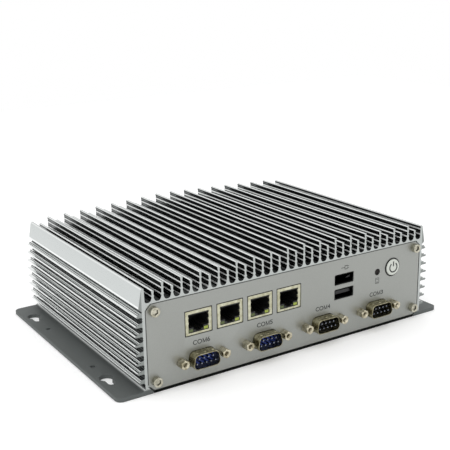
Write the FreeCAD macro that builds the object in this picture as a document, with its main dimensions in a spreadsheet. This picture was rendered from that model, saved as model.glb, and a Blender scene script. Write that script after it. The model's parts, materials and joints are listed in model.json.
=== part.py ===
"""Fanless industrial computer in a finned aluminium extrusion.

Frame: +X runs left to right along the front panel, the front faces -Y and +Z is up. The origin lies
on the underside, in the middle of the footprint. One U-shaped extrusion makes the finned roof, both
finned sides and the mounting ears. Flat panels close its ends and a plate closes its underside.
"""
import FreeCAD, Part
import math
import os
import re
from types import SimpleNamespace

from FreeCAD import Placement, Rotation, Vector

FRONT, BACK = Vector(0, -1, 0), Vector(0, 1, 0)
UP, DOWN = Vector(0, 0, 1), Vector(0, 0, -1)

doc = FreeCAD.newDocument("fanless_computer")

# ---------------------------------------------------------------- driving dimensions (millimetres)

SIZES = {
    # housing
    "body_depth": 148.0,
    "ear_span": 220.0,
    "ear_thick": 2.2,
    "ear_corner": 4.0,
    "ear_fillet": 1.4,
    "panel_width": 184.8,
    "panel_height": 46.35,
    "panel_thick": 2.0,
    "panel_chamfer": 3.2,
    "panel_gap": 0.45,
    "panel_bottom": 1.65,
    "side_wall": 2.8,
    "wall_margin": 1.9,
    "roof_wall": 2.95,
    "roof_rim": 1.15,
    "foot_inset": 2.4,
    "boss_size": 6.6,
    "screw_inset": 4.2,
    "channel_bore": 3.1,
    # roof fins
    "fin_pitch": 11.02,
    "fin_thick": 1.4,
    "fin_root_thick": 1.8,
    "fin_root_radius": 1.2,
    "fin_step": 3.1,
    "flute_pitch": 3.1,
    "flute_depth": 0.4,
    "flute_width": 1.5,
    "crown_height": 62.2,
    "roof_slope": 2.5,
    "flange_height": 57.1,
    "flange_lean": 2.5,
    "flange_thick": 1.4,
    "lip_height": 46.6,
    # side fins
    "side_pitch": 5.05,
    "side_first": 43.25,
    "side_thick": 2.1,
    "side_reach": 4.7,
    "side_bulge": 110.0,
    "prong_reach": 2.4,
    "side_radius": 0.9,
    # ear holes
    "ear_hole_inset": 6.0,
    "ear_hole_bore": 2.8,
    "ear_hole_spacing": 63.0,
    "keyhole_head": 7.6,
    "keyhole_slot": 4.2,
    "keyhole_length": 7.0,
    "keyhole_spacing": 103.5,
    "keyhole_shift": 0.25,
    # underside plate
    "plate_thick": 0.9,
    "plate_gap": 0.6,
    "plate_rest": 0.1,
    "ledge_thick": 2.6,
    "ledge_depth": 1.4,
    "plate_screw_inset": 3.0,
    "plate_screw_margin": 14.0,
    # socket screws of the end panels
    "screw_shank": 2.9,
    "screw_hole": 3.4,
    "screw_head": 5.3,
    "screw_head_height": 3.0,
    "screw_socket": 2.5,
    "screw_socket_depth": 1.6,
    "screw_length": 8.0,
    "flat_head": 4.4,
    "flat_head_height": 0.8,
    "flat_shank": 2.4,
    "flat_length": 4.2,
    "flat_bore": 2.6,
    # boards
    "board_side_gap": 2.9,
    "board_gap": 0.5,
    "board_thick": 1.6,
    "io_board_height": 4.9,
    "main_board_height": 24.3,
    "stack_side": 5.5,
    "stack_end": 17.7,
    "board_hole": 3.2,
    "standoff_flats": 5.5,
    "standoff_bore": 3.1,
    "stack_screw_head": 5.6,
    "stack_screw_height": 2.0,
    "stack_screw_reach": 6.0,
    "block_screw_reach": 4.0,
    "header_length": 50.0,
    "header_width": 5.0,
    "header_inset": 28.2,
    # processor and heat block
    "cpu_shift": 5.0,
    "cpu_base": 34.0,
    "cpu_base_thick": 1.2,
    "cpu_lid": 28.0,
    "cpu_lid_thick": 1.6,
    "pad_thick": 0.5,
    "block_width": 46.0,
    "block_leg_inset": 3.0,
    "block_leg": 5.6,
    "block_tap_depth": 5.0,
    # memory
    "memory_inset": 51.0,
    "memory_shift": 8.0,
    "memory_bar_length": 72.0,
    "memory_bar_width": 7.0,
    "memory_bar_height": 5.0,
    "memory_arm_length": 25.0,
    "memory_arm_width": 1.8,
    "memory_arm_height": 4.2,
    "memory_card_length": 67.4,
    "memory_card_depth": 29.6,
    "chip_width": 10.0,
    "chip_length": 12.0,
    "chip_height": 0.9,
    "chip_pitch": 16.0,
    "card_level": 2.5,
    "card_thick": 1.0,
    "slot_gap": 0.1,
    "slot_depth": 4.0,
    # solid-state drive
    "drive_side": 32.0,
    "drive_end": 43.7,
    "drive_socket_width": 30.5,
    "drive_socket_depth": 7.0,
    "drive_socket_height": 4.6,
    "drive_card_width": 29.8,
    "drive_card_length": 50.8,
    # clock cell
    "cell_side": 22.0,
    "cell_end": 28.7,
    "cell_width": 20.0,
    "cell_height": 3.2,
    "cell_floor": 1.2,
    "cell_wall": 1.5,
    "cell_gap": 0.1,
    # network sockets
    "lan_first": -62.28,
    "lan_rise": 0.2,
    "lan_sill": 0.8,
    "lan_room_width": 11.8,
    "lan_room_height": 6.9,
    "lan_room_top": 4.2,
    "lan_room_depth": 12.5,
    "lan_latch_width": 6.0,
    "lan_latch_step": 1.4,
    "lan_key_width": 3.4,
    "lan_key_step": 0.8,
    "lan_lens_width": 2.4,
    "lan_lens_height": 1.5,
    "lan_lens_depth": 3.0,
    "lan_lens_side": 4.5,
    "lan_lens_drop": 4.3,
    "lan_wire": 0.4,
    "lan_wire_pitch": 1.02,
    "lan_wire_start": 3.0,
    "lan_wire_fall": 1.9,
    "seat_gap": 0.05,
    "lan_pitch": 19.2,
    "lan_width": 15.6,
    "lan_height": 13.1,
    "lan_depth": 18.0,
    "lan_wall": 0.35,
    "lan_frame": 1.3,
    "lan_clearance": 0.45,
    # serial ports
    "com_first": -60.9,
    "com_pitch": 40.0,
    "com_height": 12.75,
    "com_shell_width": 16.92,
    "com_shell_height": 8.36,
    "com_shell_wall": 0.4,
    "com_shell_proud": 5.6,
    "com_shell_corner": 2.6,
    "com_flange_width": 30.8,
    "com_flange_height": 12.5,
    "com_flange_thick": 0.8,
    "com_block_depth": 10.0,
    "com_insert_step": 1.6,
    "com_clearance": 0.3,
    "jack_spacing": 24.99,
    "jack_flats": 4.7,
    "jack_proud": 5.0,
    "jack_bore": 2.6,
    "jack_bore_depth": 4.0,
    "jack_shank": 2.8,
    "jack_hole": 3.2,
    "pin_bore": 1.0,
    "pin_length": 5.2,
    "pin_pitch": 2.77,
    "pin_row": 2.84,
    # USB sockets
    "usb_centre": 34.6,
    "usb_lower": 27.07,
    "usb_pitch": 8.7,
    "usb_width": 13.1,
    "usb_height": 5.2,
    "usb_wall": 0.3,
    "usb_depth": 17.0,
    "usb_setback": 0.5,
    "usb_block": 4.0,
    "usb_tongue_rise": 0.6,
    "usb_tongue_setback": 1.5,
    "usb_contact_width": 1.0,
    "usb_contact_pitch": 2.3,
    "usb_contact_length": 9.0,
    "usb_contact_thick": 0.15,
    "usb_clearance": 0.42,
    "notch_gap": 0.2,
    "usb_tongue_width": 11.1,
    "usb_tongue_thick": 1.9,
    # power button and lamp
    "button_x": 71.0,
    "button_z": 35.6,
    "button_bore": 11.3,
    "button_cap": 9.8,
    "button_proud": 1.0,
    "button_travel": 0.9,
    "button_stem": 4.0,
    "button_lip": 12.6,
    "button_lip_thick": 0.8,
    "button_clearance": 0.15,
    "button_round": 0.7,
    "plunger_length": 6.0,
    "switch_width": 11.0,
    "switch_length": 8.5,
    "switch_rise": 4.5,
    "switch_gap": 0.35,
    "switch_fit": 0.08,
    "switch_back": 1.5,
    "lamp_x": 59.4,
    "lamp_z": 34.76,
    "lamp_bore": 4.0,
    "lamp_clearance": 0.15,
    "lamp_setback": 0.7,
    "lamp_length": 8.5,
    "lamp_leg": 3.0,
    # rear sockets
    "rear_com_1_x": -42.0,
    "rear_com_2_x": 2.0,
    "vga_x": 44.0,
    "rear_usb_x": 5.0,
    "line_out_x": -38.0,
    "mic_x": -25.0,
    "dc_x": -66.0,
    "audio_width": 9.0,
    "audio_depth": 11.0,
    "audio_height": 12.0,
    "audio_rise": 6.2,
    "audio_nose": 6.0,
    "audio_bore": 3.6,
    "audio_hole": 6.4,
    "audio_proud": 0.3,
    "dc_width": 10.0,
    "dc_depth": 14.0,
    "dc_height": 11.5,
    "dc_rise": 6.0,
    "dc_nose": 7.9,
    "dc_bore": 6.2,
    "dc_bore_depth": 11.0,
    "dc_hole": 8.2,
    "dc_pin": 2.5,
    "dc_pin_length": 9.5,
}

sheet = doc.addObject("Spreadsheet::Sheet", "sizes")
for row, (name, value) in enumerate(SIZES.items(), start=1):
    sheet.set(f"A{row}", name)
    sheet.set(f"B{row}", str(value))
    sheet.setAlias(f"B{row}", name)
doc.recompute()
S = SimpleNamespace(**{name: float(sheet.get(name)) for name in SIZES})

# ------------------------------------------------------------------------------- drawing helpers


def bind(obj, prop, text):
    """Tie a property to a formula that names cells of the sheet."""
    words = re.sub(r"[a-z_]{3,}", lambda m: f"sizes.{m.group()}" if m.group() in SIZES else m.group(), text)
    obj.setExpression(prop, words)


def outline(corners):
    """Closed line-and-arc geometry through corners (x, y, fillet radius, sagitta to the next)."""
    full = [tuple(c) + (0.0,) * (4 - len(c)) for c in corners]
    count = len(full)
    points = [Vector(x, y, 0) for x, y, _, _ in full]
    starts, ends, fillets = [], [], []
    for i, (_, _, radius, _) in enumerate(full):
        here, before, after = points[i], points[i - 1], points[(i + 1) % count]
        if radius <= 0:
            ends.append(here)
            starts.append(here)
            fillets.append(None)
            continue
        back = (before - here).normalize()
        ahead = (after - here).normalize()
        half = back.getAngle(ahead) / 2
        reach = radius / math.tan(half)
        enter, leave = here + back * reach, here + ahead * reach
        centre = here + (back + ahead).normalize() * (radius / math.sin(half))
        middle = centre + (here - centre).normalize() * radius
        ends.append(enter)
        starts.append(leave)
        fillets.append(Part.Arc(enter, middle, leave))
    shapes = []
    for i in range(count):
        if fillets[i]:
            shapes.append(fillets[i])
        first, last, sag = starts[i], ends[(i + 1) % count], full[i][3]
        if (last - first).Length < 1e-6:
            continue
        if sag:
            normal = Vector(first.y - last.y, last.x - first.x, 0).normalize()
            shapes.append(Part.Arc(first, (first + last) / 2 + normal * sag, last))
        else:
            shapes.append(Part.LineSegment(first, last))
    return shapes


def rectangle(x, y, width, height, radius=0.0):
    """Outline of a rectangle about a centre."""
    a, b = width / 2, height / 2
    return outline([(x - a, y - b, radius), (x + a, y - b, radius), (x + a, y + b, radius), (x - a, y + b, radius)])


def circle(x, y, diameter):
    """Outline of a round hole."""
    return [Part.Circle(Vector(x, y, 0), Vector(0, 0, 1), diameter / 2)]


def faceted(x, y, diameter, sides=8):
    """Outline of a small round that repeats often, drawn with flats of the same area."""
    reach = diameter / 2 * math.sqrt(math.tau / sides / math.sin(math.tau / sides))
    turns = [math.tau * (k + 0.5) / sides for k in range(sides)]
    return outline([(x + reach * math.cos(a), y + reach * math.sin(a)) for a in turns])


def hexagon(x, y, flats):
    """Outline of a hexagon by its width across flats."""
    reach = flats / math.sqrt(3)
    turns = [math.radians(60 * k) for k in range(6)]
    return outline([(x + reach * math.cos(a), y + reach * math.sin(a)) for a in turns])


def chamfered(x, y, width, height, cut):
    """Outline of a rectangle with four bevelled corners."""
    a, b = width / 2, height / 2
    ring = [(a, b - cut), (a - cut, b), (cut - a, b), (-a, b - cut), (-a, cut - b), (cut - a, -b), (a - cut, -b), (a, cut - b)]
    return outline([(x + u, y + v) for u, v in ring])


def d_shape(x, y, width, height, radius, wide_side=-1):
    """Outline of a D connector: sides slope at 10 degrees and wide_side is -1 when the long edge is low."""
    slope = height * math.tan(math.radians(10))
    long_half, short_half = width / 2, width / 2 - slope
    low, high = (long_half, short_half) if wide_side < 0 else (short_half, long_half)
    b = height / 2
    ring = [(-low, -b), (low, -b), (high, b), (-high, b)]
    return outline([(x + u, y + v, radius) for u, v in ring])


# --------------------------------------------------------------------------- solid-making helpers

nodes = []


def keep(obj, label):
    """Name an object as one piece of the product."""
    obj.Label = label
    nodes.append(obj)
    return obj


def new_body(label, depth="0"):
    """A body whose own XZ plane stands at a depth given by a formula."""
    body = doc.addObject("PartDesign::Body", f"body_{label}")
    bind(body, "Placement.Base.y", depth)
    return keep(body, label)


def draw(body, outlines, plane="XZ_Plane", offset=None):
    """A sketch of closed outlines on one of the body's own planes."""
    sketch = body.newObject("Sketcher::SketchObject", "outline")
    datum = [item for item in body.Origin.OriginFeatures if item.Role == plane][0]
    sketch.AttachmentSupport = [(datum, "")]
    sketch.MapMode = "FlatFace"
    if offset:
        bind(sketch, "AttachmentOffset.Base.z", offset)
    for shapes in outlines:
        sketch.addGeometry(shapes, False)
    return sketch


def pad(body, outlines, length, plane="XZ_Plane", offset=None, side="One side", back=False):
    """Grow the body from outlines: towards the front, or the back when back is set."""
    feature = body.newObject("PartDesign::Pad", "pad")
    feature.Profile = draw(body, outlines, plane, offset)
    feature.SideType = side
    feature.Reversed = back
    bind(feature, "Length", length)
    return feature


def pocket(body, outlines, length, plane="XZ_Plane", offset=None, side="One side", back=True):
    """Cut outlines out of the body: towards the back, or the front when back is not set."""
    feature = body.newObject("PartDesign::Pocket", "pocket")
    feature.Profile = draw(body, outlines, plane, offset)
    feature.SideType = side
    feature.Reversed = not back
    bind(feature, "Length", length)
    return feature


def slab(x, y, low, width, depth, height):
    """An upright block about a centre, from a level up."""
    return Part.makeBox(width, depth, height, Vector(x - width / 2, y - depth / 2, low))


def prism(shapes, start, length):
    """A solid from an outline drawn in X and Z, from depth start back over a length."""
    wire = Part.Wire([item.toShape() for item in shapes])
    face = Part.Face(wire)
    face.rotate(Vector(0, 0, 0), Vector(1, 0, 0), 90)
    face.translate(Vector(0, start, 0))
    return face.extrude(Vector(0, length, 0))


def stud(at, axis, diameter, length, sides=8):
    """A thin round rod drawn with flats, from a point along an axis."""
    rod = Part.Face(Part.Wire([item.toShape() for item in faceted(0, 0, diameter, sides)])).extrude(UP * length)
    rod.Placement = Placement(at, Rotation(UP, axis))
    return rod


def turned(corners, at, axis):
    """A solid turned about an axis through a point, from (distance along, radius) corners."""
    wire = Part.makePolygon([Vector(r, 0, u) for u, r in corners] + [Vector(corners[0][1], 0, corners[0][0])])
    solid = Part.Face(wire).revolve(Vector(0, 0, 0), Vector(0, 0, 1), 360)
    solid.Placement = Placement(at, Rotation(Vector(0, 0, 1), axis))
    return solid


def group(label, shapes):
    """Like pieces that share one node, each a solid of its own."""
    feature = doc.addObject("Part::Feature", f"group_{label}")
    feature.Shape = Part.makeCompound(shapes)
    return keep(feature, label)


# ------------------------------------------------------------------------------- derived places

front = -S.body_depth / 2
panel_top = S.panel_bottom + S.panel_height
panel_middle = S.panel_bottom + S.panel_height / 2
groove = S.panel_width / 2 + S.wall_margin
wall_inner = groove - S.side_wall
cavity_floor = panel_top + S.roof_rim
ceiling = cavity_floor - S.roof_wall
foot_inner = S.panel_width / 2 - S.foot_inset
boss_inner = groove - S.screw_inset - S.wall_margin - S.boss_size / 2
screw_x = S.panel_width / 2 - S.screw_inset
screw_low = S.panel_bottom + S.screw_inset + 0.6
screw_high = panel_top - S.screw_inset + 0.5
ledge_bottom = S.plate_thick + S.plate_rest
board_x = boss_inner - S.board_side_gap
board_y = S.body_depth / 2 - S.panel_thick - S.com_flange_thick - S.board_gap
board_top = S.main_board_height + S.board_thick
io_top = S.io_board_height + S.board_thick
lan_middle = board_top + S.lan_rise + S.lan_height / 2
vga_middle = board_top + S.com_flange_height / 2
audio_middle = board_top + S.audio_rise
dc_middle = board_top + S.dc_rise
PANEL_SCREWS = [(side * screw_x, z) for side in (-1, 1) for z in (screw_low, screw_high)]

# ------------------------------------------------------------------------------- extruded housing


def roof_height(x):
    """Tips of the tall roof fins rise to a shallow ridge over the middle."""
    return S.crown_height - abs(x) * math.tan(math.radians(S.roof_slope))


def flute_levels(tip):
    """Heights of the small beads down the side of a roof fin."""
    levels = []
    level = tip - S.flute_pitch
    while level > cavity_floor + S.fin_root_radius + S.flute_width / 2:
        levels.append(level)
        level -= S.flute_pitch
    return levels


def roof_fin(x, tip):
    """Corners of one roof fin from its left root to its right root, fluted on both sides."""
    half, root = S.fin_thick / 2, S.fin_root_thick / 2
    shoulder = tip - 0.9
    levels = flute_levels(tip)
    span = tip - cavity_floor

    def face(level):
        return half + (root - half) * (tip - level) / span + 0.1

    edge = [(S.fin_thick / 4, tip), (half, tip - S.fin_thick / 4), (half, shoulder)]
    for level in levels:
        for out, shift in ((S.flute_depth, S.flute_width / 2), (0, 0), (S.flute_depth, -S.flute_width / 2)):
            edge.append((face(level + shift) - out, level + shift))
    bevel = S.fin_root_radius
    edge += [(root, cavity_floor + bevel), (root + bevel * 0.4, cavity_floor + bevel * 0.35), (root + bevel, cavity_floor)]
    left = [(x - out, level) for out, level in reversed(edge)]
    return left + [(x + out, level) for out, level in edge]


def side_fin(level, reach):
    """Corners of one side fin on the right, from its top root to its bottom root."""
    half = S.side_thick / 2
    step = level + half * 0.3
    return [
        (groove, level + half + S.side_radius),
        (groove + S.side_radius * 0.3, level + half + S.side_radius * 0.3),
        (groove + S.side_radius, level + half),
        (groove + S.prong_reach - 0.3, level + half),
        (groove + S.prong_reach, level + half - 0.3),
        (groove + S.prong_reach - 0.1, step + 0.15),
        (groove + S.prong_reach - 0.6, step - 0.1),
        (groove + reach - 0.25, step - 0.15),
        (groove + reach, step - 0.4),
        (groove + reach - 0.1, level - half + 0.3),
        (groove + reach - 0.4, level - half),
        (groove + S.side_radius, level - half),
        (groove + S.side_radius * 0.3, level - half - S.side_radius * 0.3),
        (groove, level - half - S.side_radius),
    ]


def housing_right():
    """Corners of the right flank, from the last roof cavity down to the ear and in to the ceiling."""
    flange = 17 * S.fin_pitch / 2
    tip = flange + S.flange_thick / 2
    lip = groove + S.flange_lean - 0.4
    corners = [
        (flange - S.flange_thick / 2 - 0.3, cavity_floor, S.fin_root_radius),
        (flange - S.flange_thick / 2, S.flange_height, 0.55),
        (tip, S.flange_height, 0.55),
        (lip, S.lip_height, 1.1),
    ]
    count = 8
    middle = (count - 1) / 2
    for i in range(count):
        offset = (i - middle) * S.side_pitch
        sink = S.side_bulge - math.sqrt(S.side_bulge ** 2 - offset ** 2)
        level = S.side_first - i * S.side_pitch
        corners += side_fin(level, S.side_reach - sink)
        if i < count - 1:
            root = level - S.side_pitch / 2
            corners += [(groove, root + 0.3), (groove + 0.35, root), (groove, root - 0.3)]
    ear = S.ear_span / 2
    ledge = boss_inner - S.ledge_depth
    ledge_top = ledge_bottom + S.ledge_thick
    boss_top = screw_low + S.boss_size / 2
    hanger_bottom = screw_high - S.boss_size / 2
    corners += [
        (groove, S.ear_thick, S.ear_fillet),
        (ear - 0.3, S.ear_thick),
        (ear, S.ear_thick - 0.3),
        (ear, 0.3),
        (ear - 0.3, 0),
        (foot_inner, 0),
        (foot_inner, ledge_bottom),
        (ledge, ledge_bottom),
        (ledge, ledge_top),
        (boss_inner, ledge_top),
        (boss_inner, boss_top),
        (wall_inner, boss_top),
        (wall_inner, hanger_bottom),
        (boss_inner, hanger_bottom),
        (boss_inner, ceiling),
    ]
    return corners


def mirrored(corners):
    """The same corners on the left, in reverse order so that the outline closes."""
    straight = [(x, y, r, s) for x, y, r, s in (tuple(c) + (0.0,) * (4 - len(c)) for c in corners)]
    return [(-x, y, r, 0.0) for x, y, r, s in reversed(straight)]


def housing_profile():
    """The closed section of the extrusion."""
    right = housing_right()
    roof = []
    for k in range(-16, 17):
        x = k * S.fin_pitch / 2
        drop = 0.0 if k % 2 else S.fin_step
        roof += roof_fin(x, roof_height(x) - drop)
    return outline(roof + right + mirrored(right))


def keyhole(x, y):
    """Round head opening at the back of a narrower slot that runs forward."""
    head, slot = S.keyhole_head / 2, S.keyhole_slot / 2
    neck = math.sqrt(head ** 2 - slot ** 2)
    end = y - S.keyhole_length
    left, right = Vector(x - slot, y - neck, 0), Vector(x + slot, y - neck, 0)
    return [
        Part.Arc(left, Vector(x, y + head, 0), right),
        Part.LineSegment(right, Vector(x + slot, end, 0)),
        Part.Arc(Vector(x + slot, end, 0), Vector(x, end - slot, 0), Vector(x - slot, end, 0)),
        Part.LineSegment(Vector(x - slot, end, 0), left),
    ]


def ear_trim(side, end):
    """The waste outside one rounded corner of an ear."""
    x, y, r = side * S.ear_span / 2, end * S.body_depth / 2, S.ear_corner
    inner = Vector(x - side * r, y - end * r, 0)
    middle = inner + Vector(side, end, 0).normalize() * r
    outside_x, outside_y = x + side * 1.0, y + end * 1.0
    start, stop = Vector(x, inner.y, 0), Vector(inner.x, y, 0)
    corner = [start, Vector(outside_x, inner.y, 0), Vector(outside_x, outside_y, 0), Vector(inner.x, outside_y, 0), stop]
    lines = [Part.LineSegment(a, b) for a, b in zip(corner, corner[1:])]
    return lines + [Part.Arc(stop, middle, start)]


def extruded_body():
    body = new_body("extruded_body")
    channels = [faceted(x, z, S.channel_bore) for x, z in PANEL_SCREWS]
    pad(body, [housing_profile()] + channels, "body_depth", side="Symmetric")
    width = S.panel_width + 2 * S.panel_gap
    height = panel_top + S.panel_gap - ledge_bottom
    seat = chamfered(0, ledge_bottom + height / 2, width, height, S.panel_chamfer)
    pocket(body, [seat], "panel_thick", offset="body_depth / 2")
    pocket(body, [seat], "panel_thick", offset="-body_depth / 2", back=False)
    ear_x = S.ear_span / 2 - S.ear_hole_inset
    rows = [S.keyhole_length / 2 + S.keyhole_shift + k * S.keyhole_spacing / 2 for k in (-1, 1)]
    holes = [keyhole(side * ear_x, y) for side in (-1, 1) for y in rows]
    spots = [(side * ear_x, end * S.ear_hole_spacing / 2) for side in (-1, 1) for end in (-1, 1)]
    holes += [circle(x, y, S.ear_hole_bore) for x, y in spots]
    trims = [ear_trim(side, end) for side in (-1, 1) for end in (-1, 1)]
    pocket(body, holes + trims, "ear_thick + ear_fillet", plane="XY_Plane", back=False)
    bores = [faceted(x, y, S.flat_bore) for x, y in plate_screw_places()]
    pocket(body, bores, "plate_thick + flat_length", plane="XY_Plane", back=False)
    return body


def plate_screw_places():
    x = foot_inner - S.plate_screw_inset
    y = S.body_depth / 2 - S.plate_screw_margin
    return [(side * x, end * y) for side in (-1, 1) for end in (-1, 0, 1)]


# ---------------------------------------------------------------------------------- end panels


def panel_blank():
    return chamfered(0, panel_middle, S.panel_width, S.panel_height, S.panel_chamfer)


def lan_centres():
    return [S.lan_first + k * S.lan_pitch for k in range(4)]


def com_centres():
    return [S.com_first + k * S.com_pitch for k in range(4)]


REAR_COM = (S.rear_com_1_x, S.rear_com_2_x)


def com_windows(x, z, side):
    """Cut-outs of one D connector: its shell and its two jack screws."""
    width, height = S.com_shell_width + 2 * S.com_clearance, S.com_shell_height + 2 * S.com_clearance
    shell = d_shape(x, z, width, height, S.com_shell_corner + S.com_clearance, side)
    return [shell] + [faceted(x + end * S.jack_spacing / 2, z, S.jack_hole) for end in (-1, 1)]


def usb_windows(x):
    width, height = S.usb_width + 2 * S.usb_clearance, S.usb_height + 2 * S.usb_clearance
    return [chamfered(x, S.usb_lower + k * S.usb_pitch, width, height, 0.4) for k in (0, 1)]


def panel_screw_holes():
    return [faceted(x, z, S.screw_hole) for x, z in PANEL_SCREWS]


def front_panel():
    body = new_body("front_panel", "panel_thick - body_depth / 2")
    pad(body, [panel_blank()], "panel_thick")
    gap = 2 * S.lan_clearance
    cuts = [rectangle(x, lan_middle, S.lan_width + gap, S.lan_height + gap) for x in lan_centres()]
    for x in com_centres():
        cuts += com_windows(x, S.com_height, -1)
    cuts += usb_windows(S.usb_centre)
    cuts += [circle(S.button_x, S.button_z, S.button_bore), circle(S.lamp_x, S.lamp_z, S.lamp_bore)]
    pocket(body, cuts + panel_screw_holes(), "panel_thick", back=False)
    return body


def rear_panel():
    body = new_body("rear_panel", "body_depth / 2")
    pad(body, [panel_blank()], "panel_thick")
    cuts = usb_windows(S.rear_usb_x)
    for x in REAR_COM:
        cuts += com_windows(x, S.com_height, -1)
    cuts += com_windows(S.vga_x, vga_middle, -1)
    cuts += [circle(x, audio_middle, S.audio_hole) for x in (S.line_out_x, S.mic_x)]
    cuts += [circle(S.dc_x, dc_middle, S.dc_hole)]
    pocket(body, cuts + panel_screw_holes(), "panel_thick", back=False)
    return body


def bottom_plate():
    body = new_body("bottom_plate")
    width = 2 * (foot_inner - S.plate_gap)
    pad(body, [rectangle(0, 0, width, S.body_depth)], "plate_thick", plane="XY_Plane")
    holes = [faceted(x, y, S.flat_shank + 0.3) for x, y in plate_screw_places()]
    pocket(body, holes, "plate_thick", plane="XY_Plane", back=False)
    seats = [circle(x, y, S.flat_head + 0.1) for x, y in plate_screw_places()]
    sink = pocket(body, seats, "flat_head_height", plane="XY_Plane", back=False)
    bind(sink, "TaperAngle", "-atan((flat_head - flat_shank) / 2 / flat_head_height)")
    return body


# ------------------------------------------------------------------------------------ fasteners


def cap_screw(x, y, z, axis):
    """Socket-head screw whose head rests at a point and points along an axis."""
    head, top, bevel = S.screw_head / 2, S.screw_head_height, 0.35
    solid = turned([(0, 0), (0, head), (top - bevel, head), (top, head - bevel), (top, 0)], Vector(x, y, z), axis)
    solid = solid.fuse(stud(Vector(x, y, z), axis * -1, S.screw_shank, S.screw_length))
    socket = prism(hexagon(0, 0, S.screw_socket), 0, S.screw_socket_depth)
    turn = Rotation(Vector(0, -1, 0), axis)
    socket.Placement = Placement(Vector(x, y, z) + axis * top, turn).multiply(socket.Placement)
    return solid.cut(socket)


def flat_screw(x, y):
    """Countersunk screw set flush in the underside plate."""
    head, shank, end = S.flat_head / 2, S.flat_shank / 2, S.flat_length
    return turned([(0, 0), (0, head), (S.flat_head_height, shank), (end, shank), (end, 0)], Vector(x, y, 0), UP)


def stack_screw(x, y, z, length, axis=UP):
    """Pan-head screw of the boards, with its head towards the axis."""
    place = Vector(x, y, z)
    head = stud(place, axis, S.stack_screw_head, S.stack_screw_height)
    return head.fuse(stud(place, axis * -1, S.screw_shank, length))


def fasteners():
    half = S.body_depth / 2
    group("front_panel_screws", [cap_screw(x, -half, z, FRONT) for x, z in PANEL_SCREWS])
    group("rear_panel_screws", [cap_screw(x, half, z, BACK) for x, z in PANEL_SCREWS])
    group("bottom_plate_screws", [flat_screw(x, y) for x, y in plate_screw_places()])


# ------------------------------------------------------------------------------- network sockets


def lan_ports():
    width, height, wall = S.lan_width, S.lan_height, S.lan_wall
    inner_width, inner_height = width - 2 * wall, height - 2 * wall
    opening_height = inner_height - S.lan_frame - S.lan_sill
    opening = rectangle(0, (S.lan_sill - S.lan_frame) / 2, inner_width - 2 * S.lan_frame, opening_height)
    contacts, lenses = [], []
    for number, x in enumerate(lan_centres(), start=1):
        shield = new_body(f"lan_shield_{number}", "lan_depth - body_depth / 2")
        bind(shield, "Placement.Base.x", f"lan_first + lan_pitch * {number - 1}")
        bind(shield, "Placement.Base.z", LAN_LEVEL)
        pad(shield, [chamfered(0, 0, width, height, 0.3)], "lan_depth")
        pocket(shield, [rectangle(0, 0, inner_width, inner_height)], "lan_depth - lan_wall", back=False)
        pocket(shield, [opening], "lan_depth", back=False)
        lan_housing(number, inner_width - 2 * S.seat_gap, inner_height - 2 * S.seat_gap)
        contacts += lan_contacts(x)
        lenses += lan_lenses(x)
    group("lan_contacts", contacts)
    group("lan_lenses", lenses)


LAN_LEVEL = "main_board_height + board_thick + lan_rise + lan_height / 2"
LAN_FACE = "lan_depth - lan_wall - seat_gap"
lan_mouth = front + S.lan_wall + S.seat_gap


def lan_room():
    """The plug's way in: a wide room with a stepped notch for the latch below it."""
    a, top = S.lan_room_width / 2, S.lan_room_top
    low = top - S.lan_room_height
    latch, key = S.lan_latch_width / 2, S.lan_key_width / 2
    step = low - S.lan_latch_step
    drop = step - S.lan_key_step
    ring = [(-a, low), (-latch, low), (-latch, step), (-key, step), (-key, drop), (key, drop)]
    ring += [(key, step), (latch, step), (latch, low), (a, low), (a, top), (-a, top)]
    return outline(ring)


def lan_housing(number, width, height):
    body = new_body(f"lan_housing_{number}", "lan_depth - body_depth / 2")
    bind(body, "Placement.Base.x", f"lan_first + lan_pitch * {number - 1}")
    bind(body, "Placement.Base.z", LAN_LEVEL)
    pad(body, [rectangle(0, 0, width, height)], LAN_FACE)
    pocket(body, [lan_room()], "lan_room_depth", offset=LAN_FACE)
    width, height = S.lan_lens_width + 2 * S.seat_gap, S.lan_lens_height + 2 * S.seat_gap
    slots = [rectangle(side * S.lan_lens_side, -S.lan_lens_drop, width, height) for side in (-1, 1)]
    pocket(body, slots, "lan_lens_depth + seat_gap", offset=LAN_FACE)
    return body


def lan_contacts(x):
    """Eight spring wires that slope down from the roof of the room."""
    start, end = lan_mouth + S.lan_wire_start, lan_mouth + S.lan_room_depth - 2 * S.seat_gap
    top = lan_middle + S.lan_room_top
    path = [(start, top), (start + S.lan_wire, top), (end, top - S.lan_wire_fall), (end, top - S.lan_wire_fall - S.lan_wire)]
    wires = []
    for k in range(8):
        side = x + (k - 3.5) * S.lan_wire_pitch - S.lan_wire / 2
        wire = Part.makePolygon([Vector(side, y, z) for y, z in path + path[:1]])
        wires.append(Part.Face(wire).extrude(Vector(S.lan_wire, 0, 0)))
    return wires


def lan_lenses(x):
    low = lan_middle - S.lan_lens_drop - S.lan_lens_height / 2
    y = lan_mouth + S.lan_lens_depth / 2
    sides = [x + side * S.lan_lens_side for side in (-1, 1)]
    return [slab(place, y, low, S.lan_lens_width, S.lan_lens_depth, S.lan_lens_height) for place in sides]


# ---------------------------------------------------------------------------------- D connectors


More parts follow.
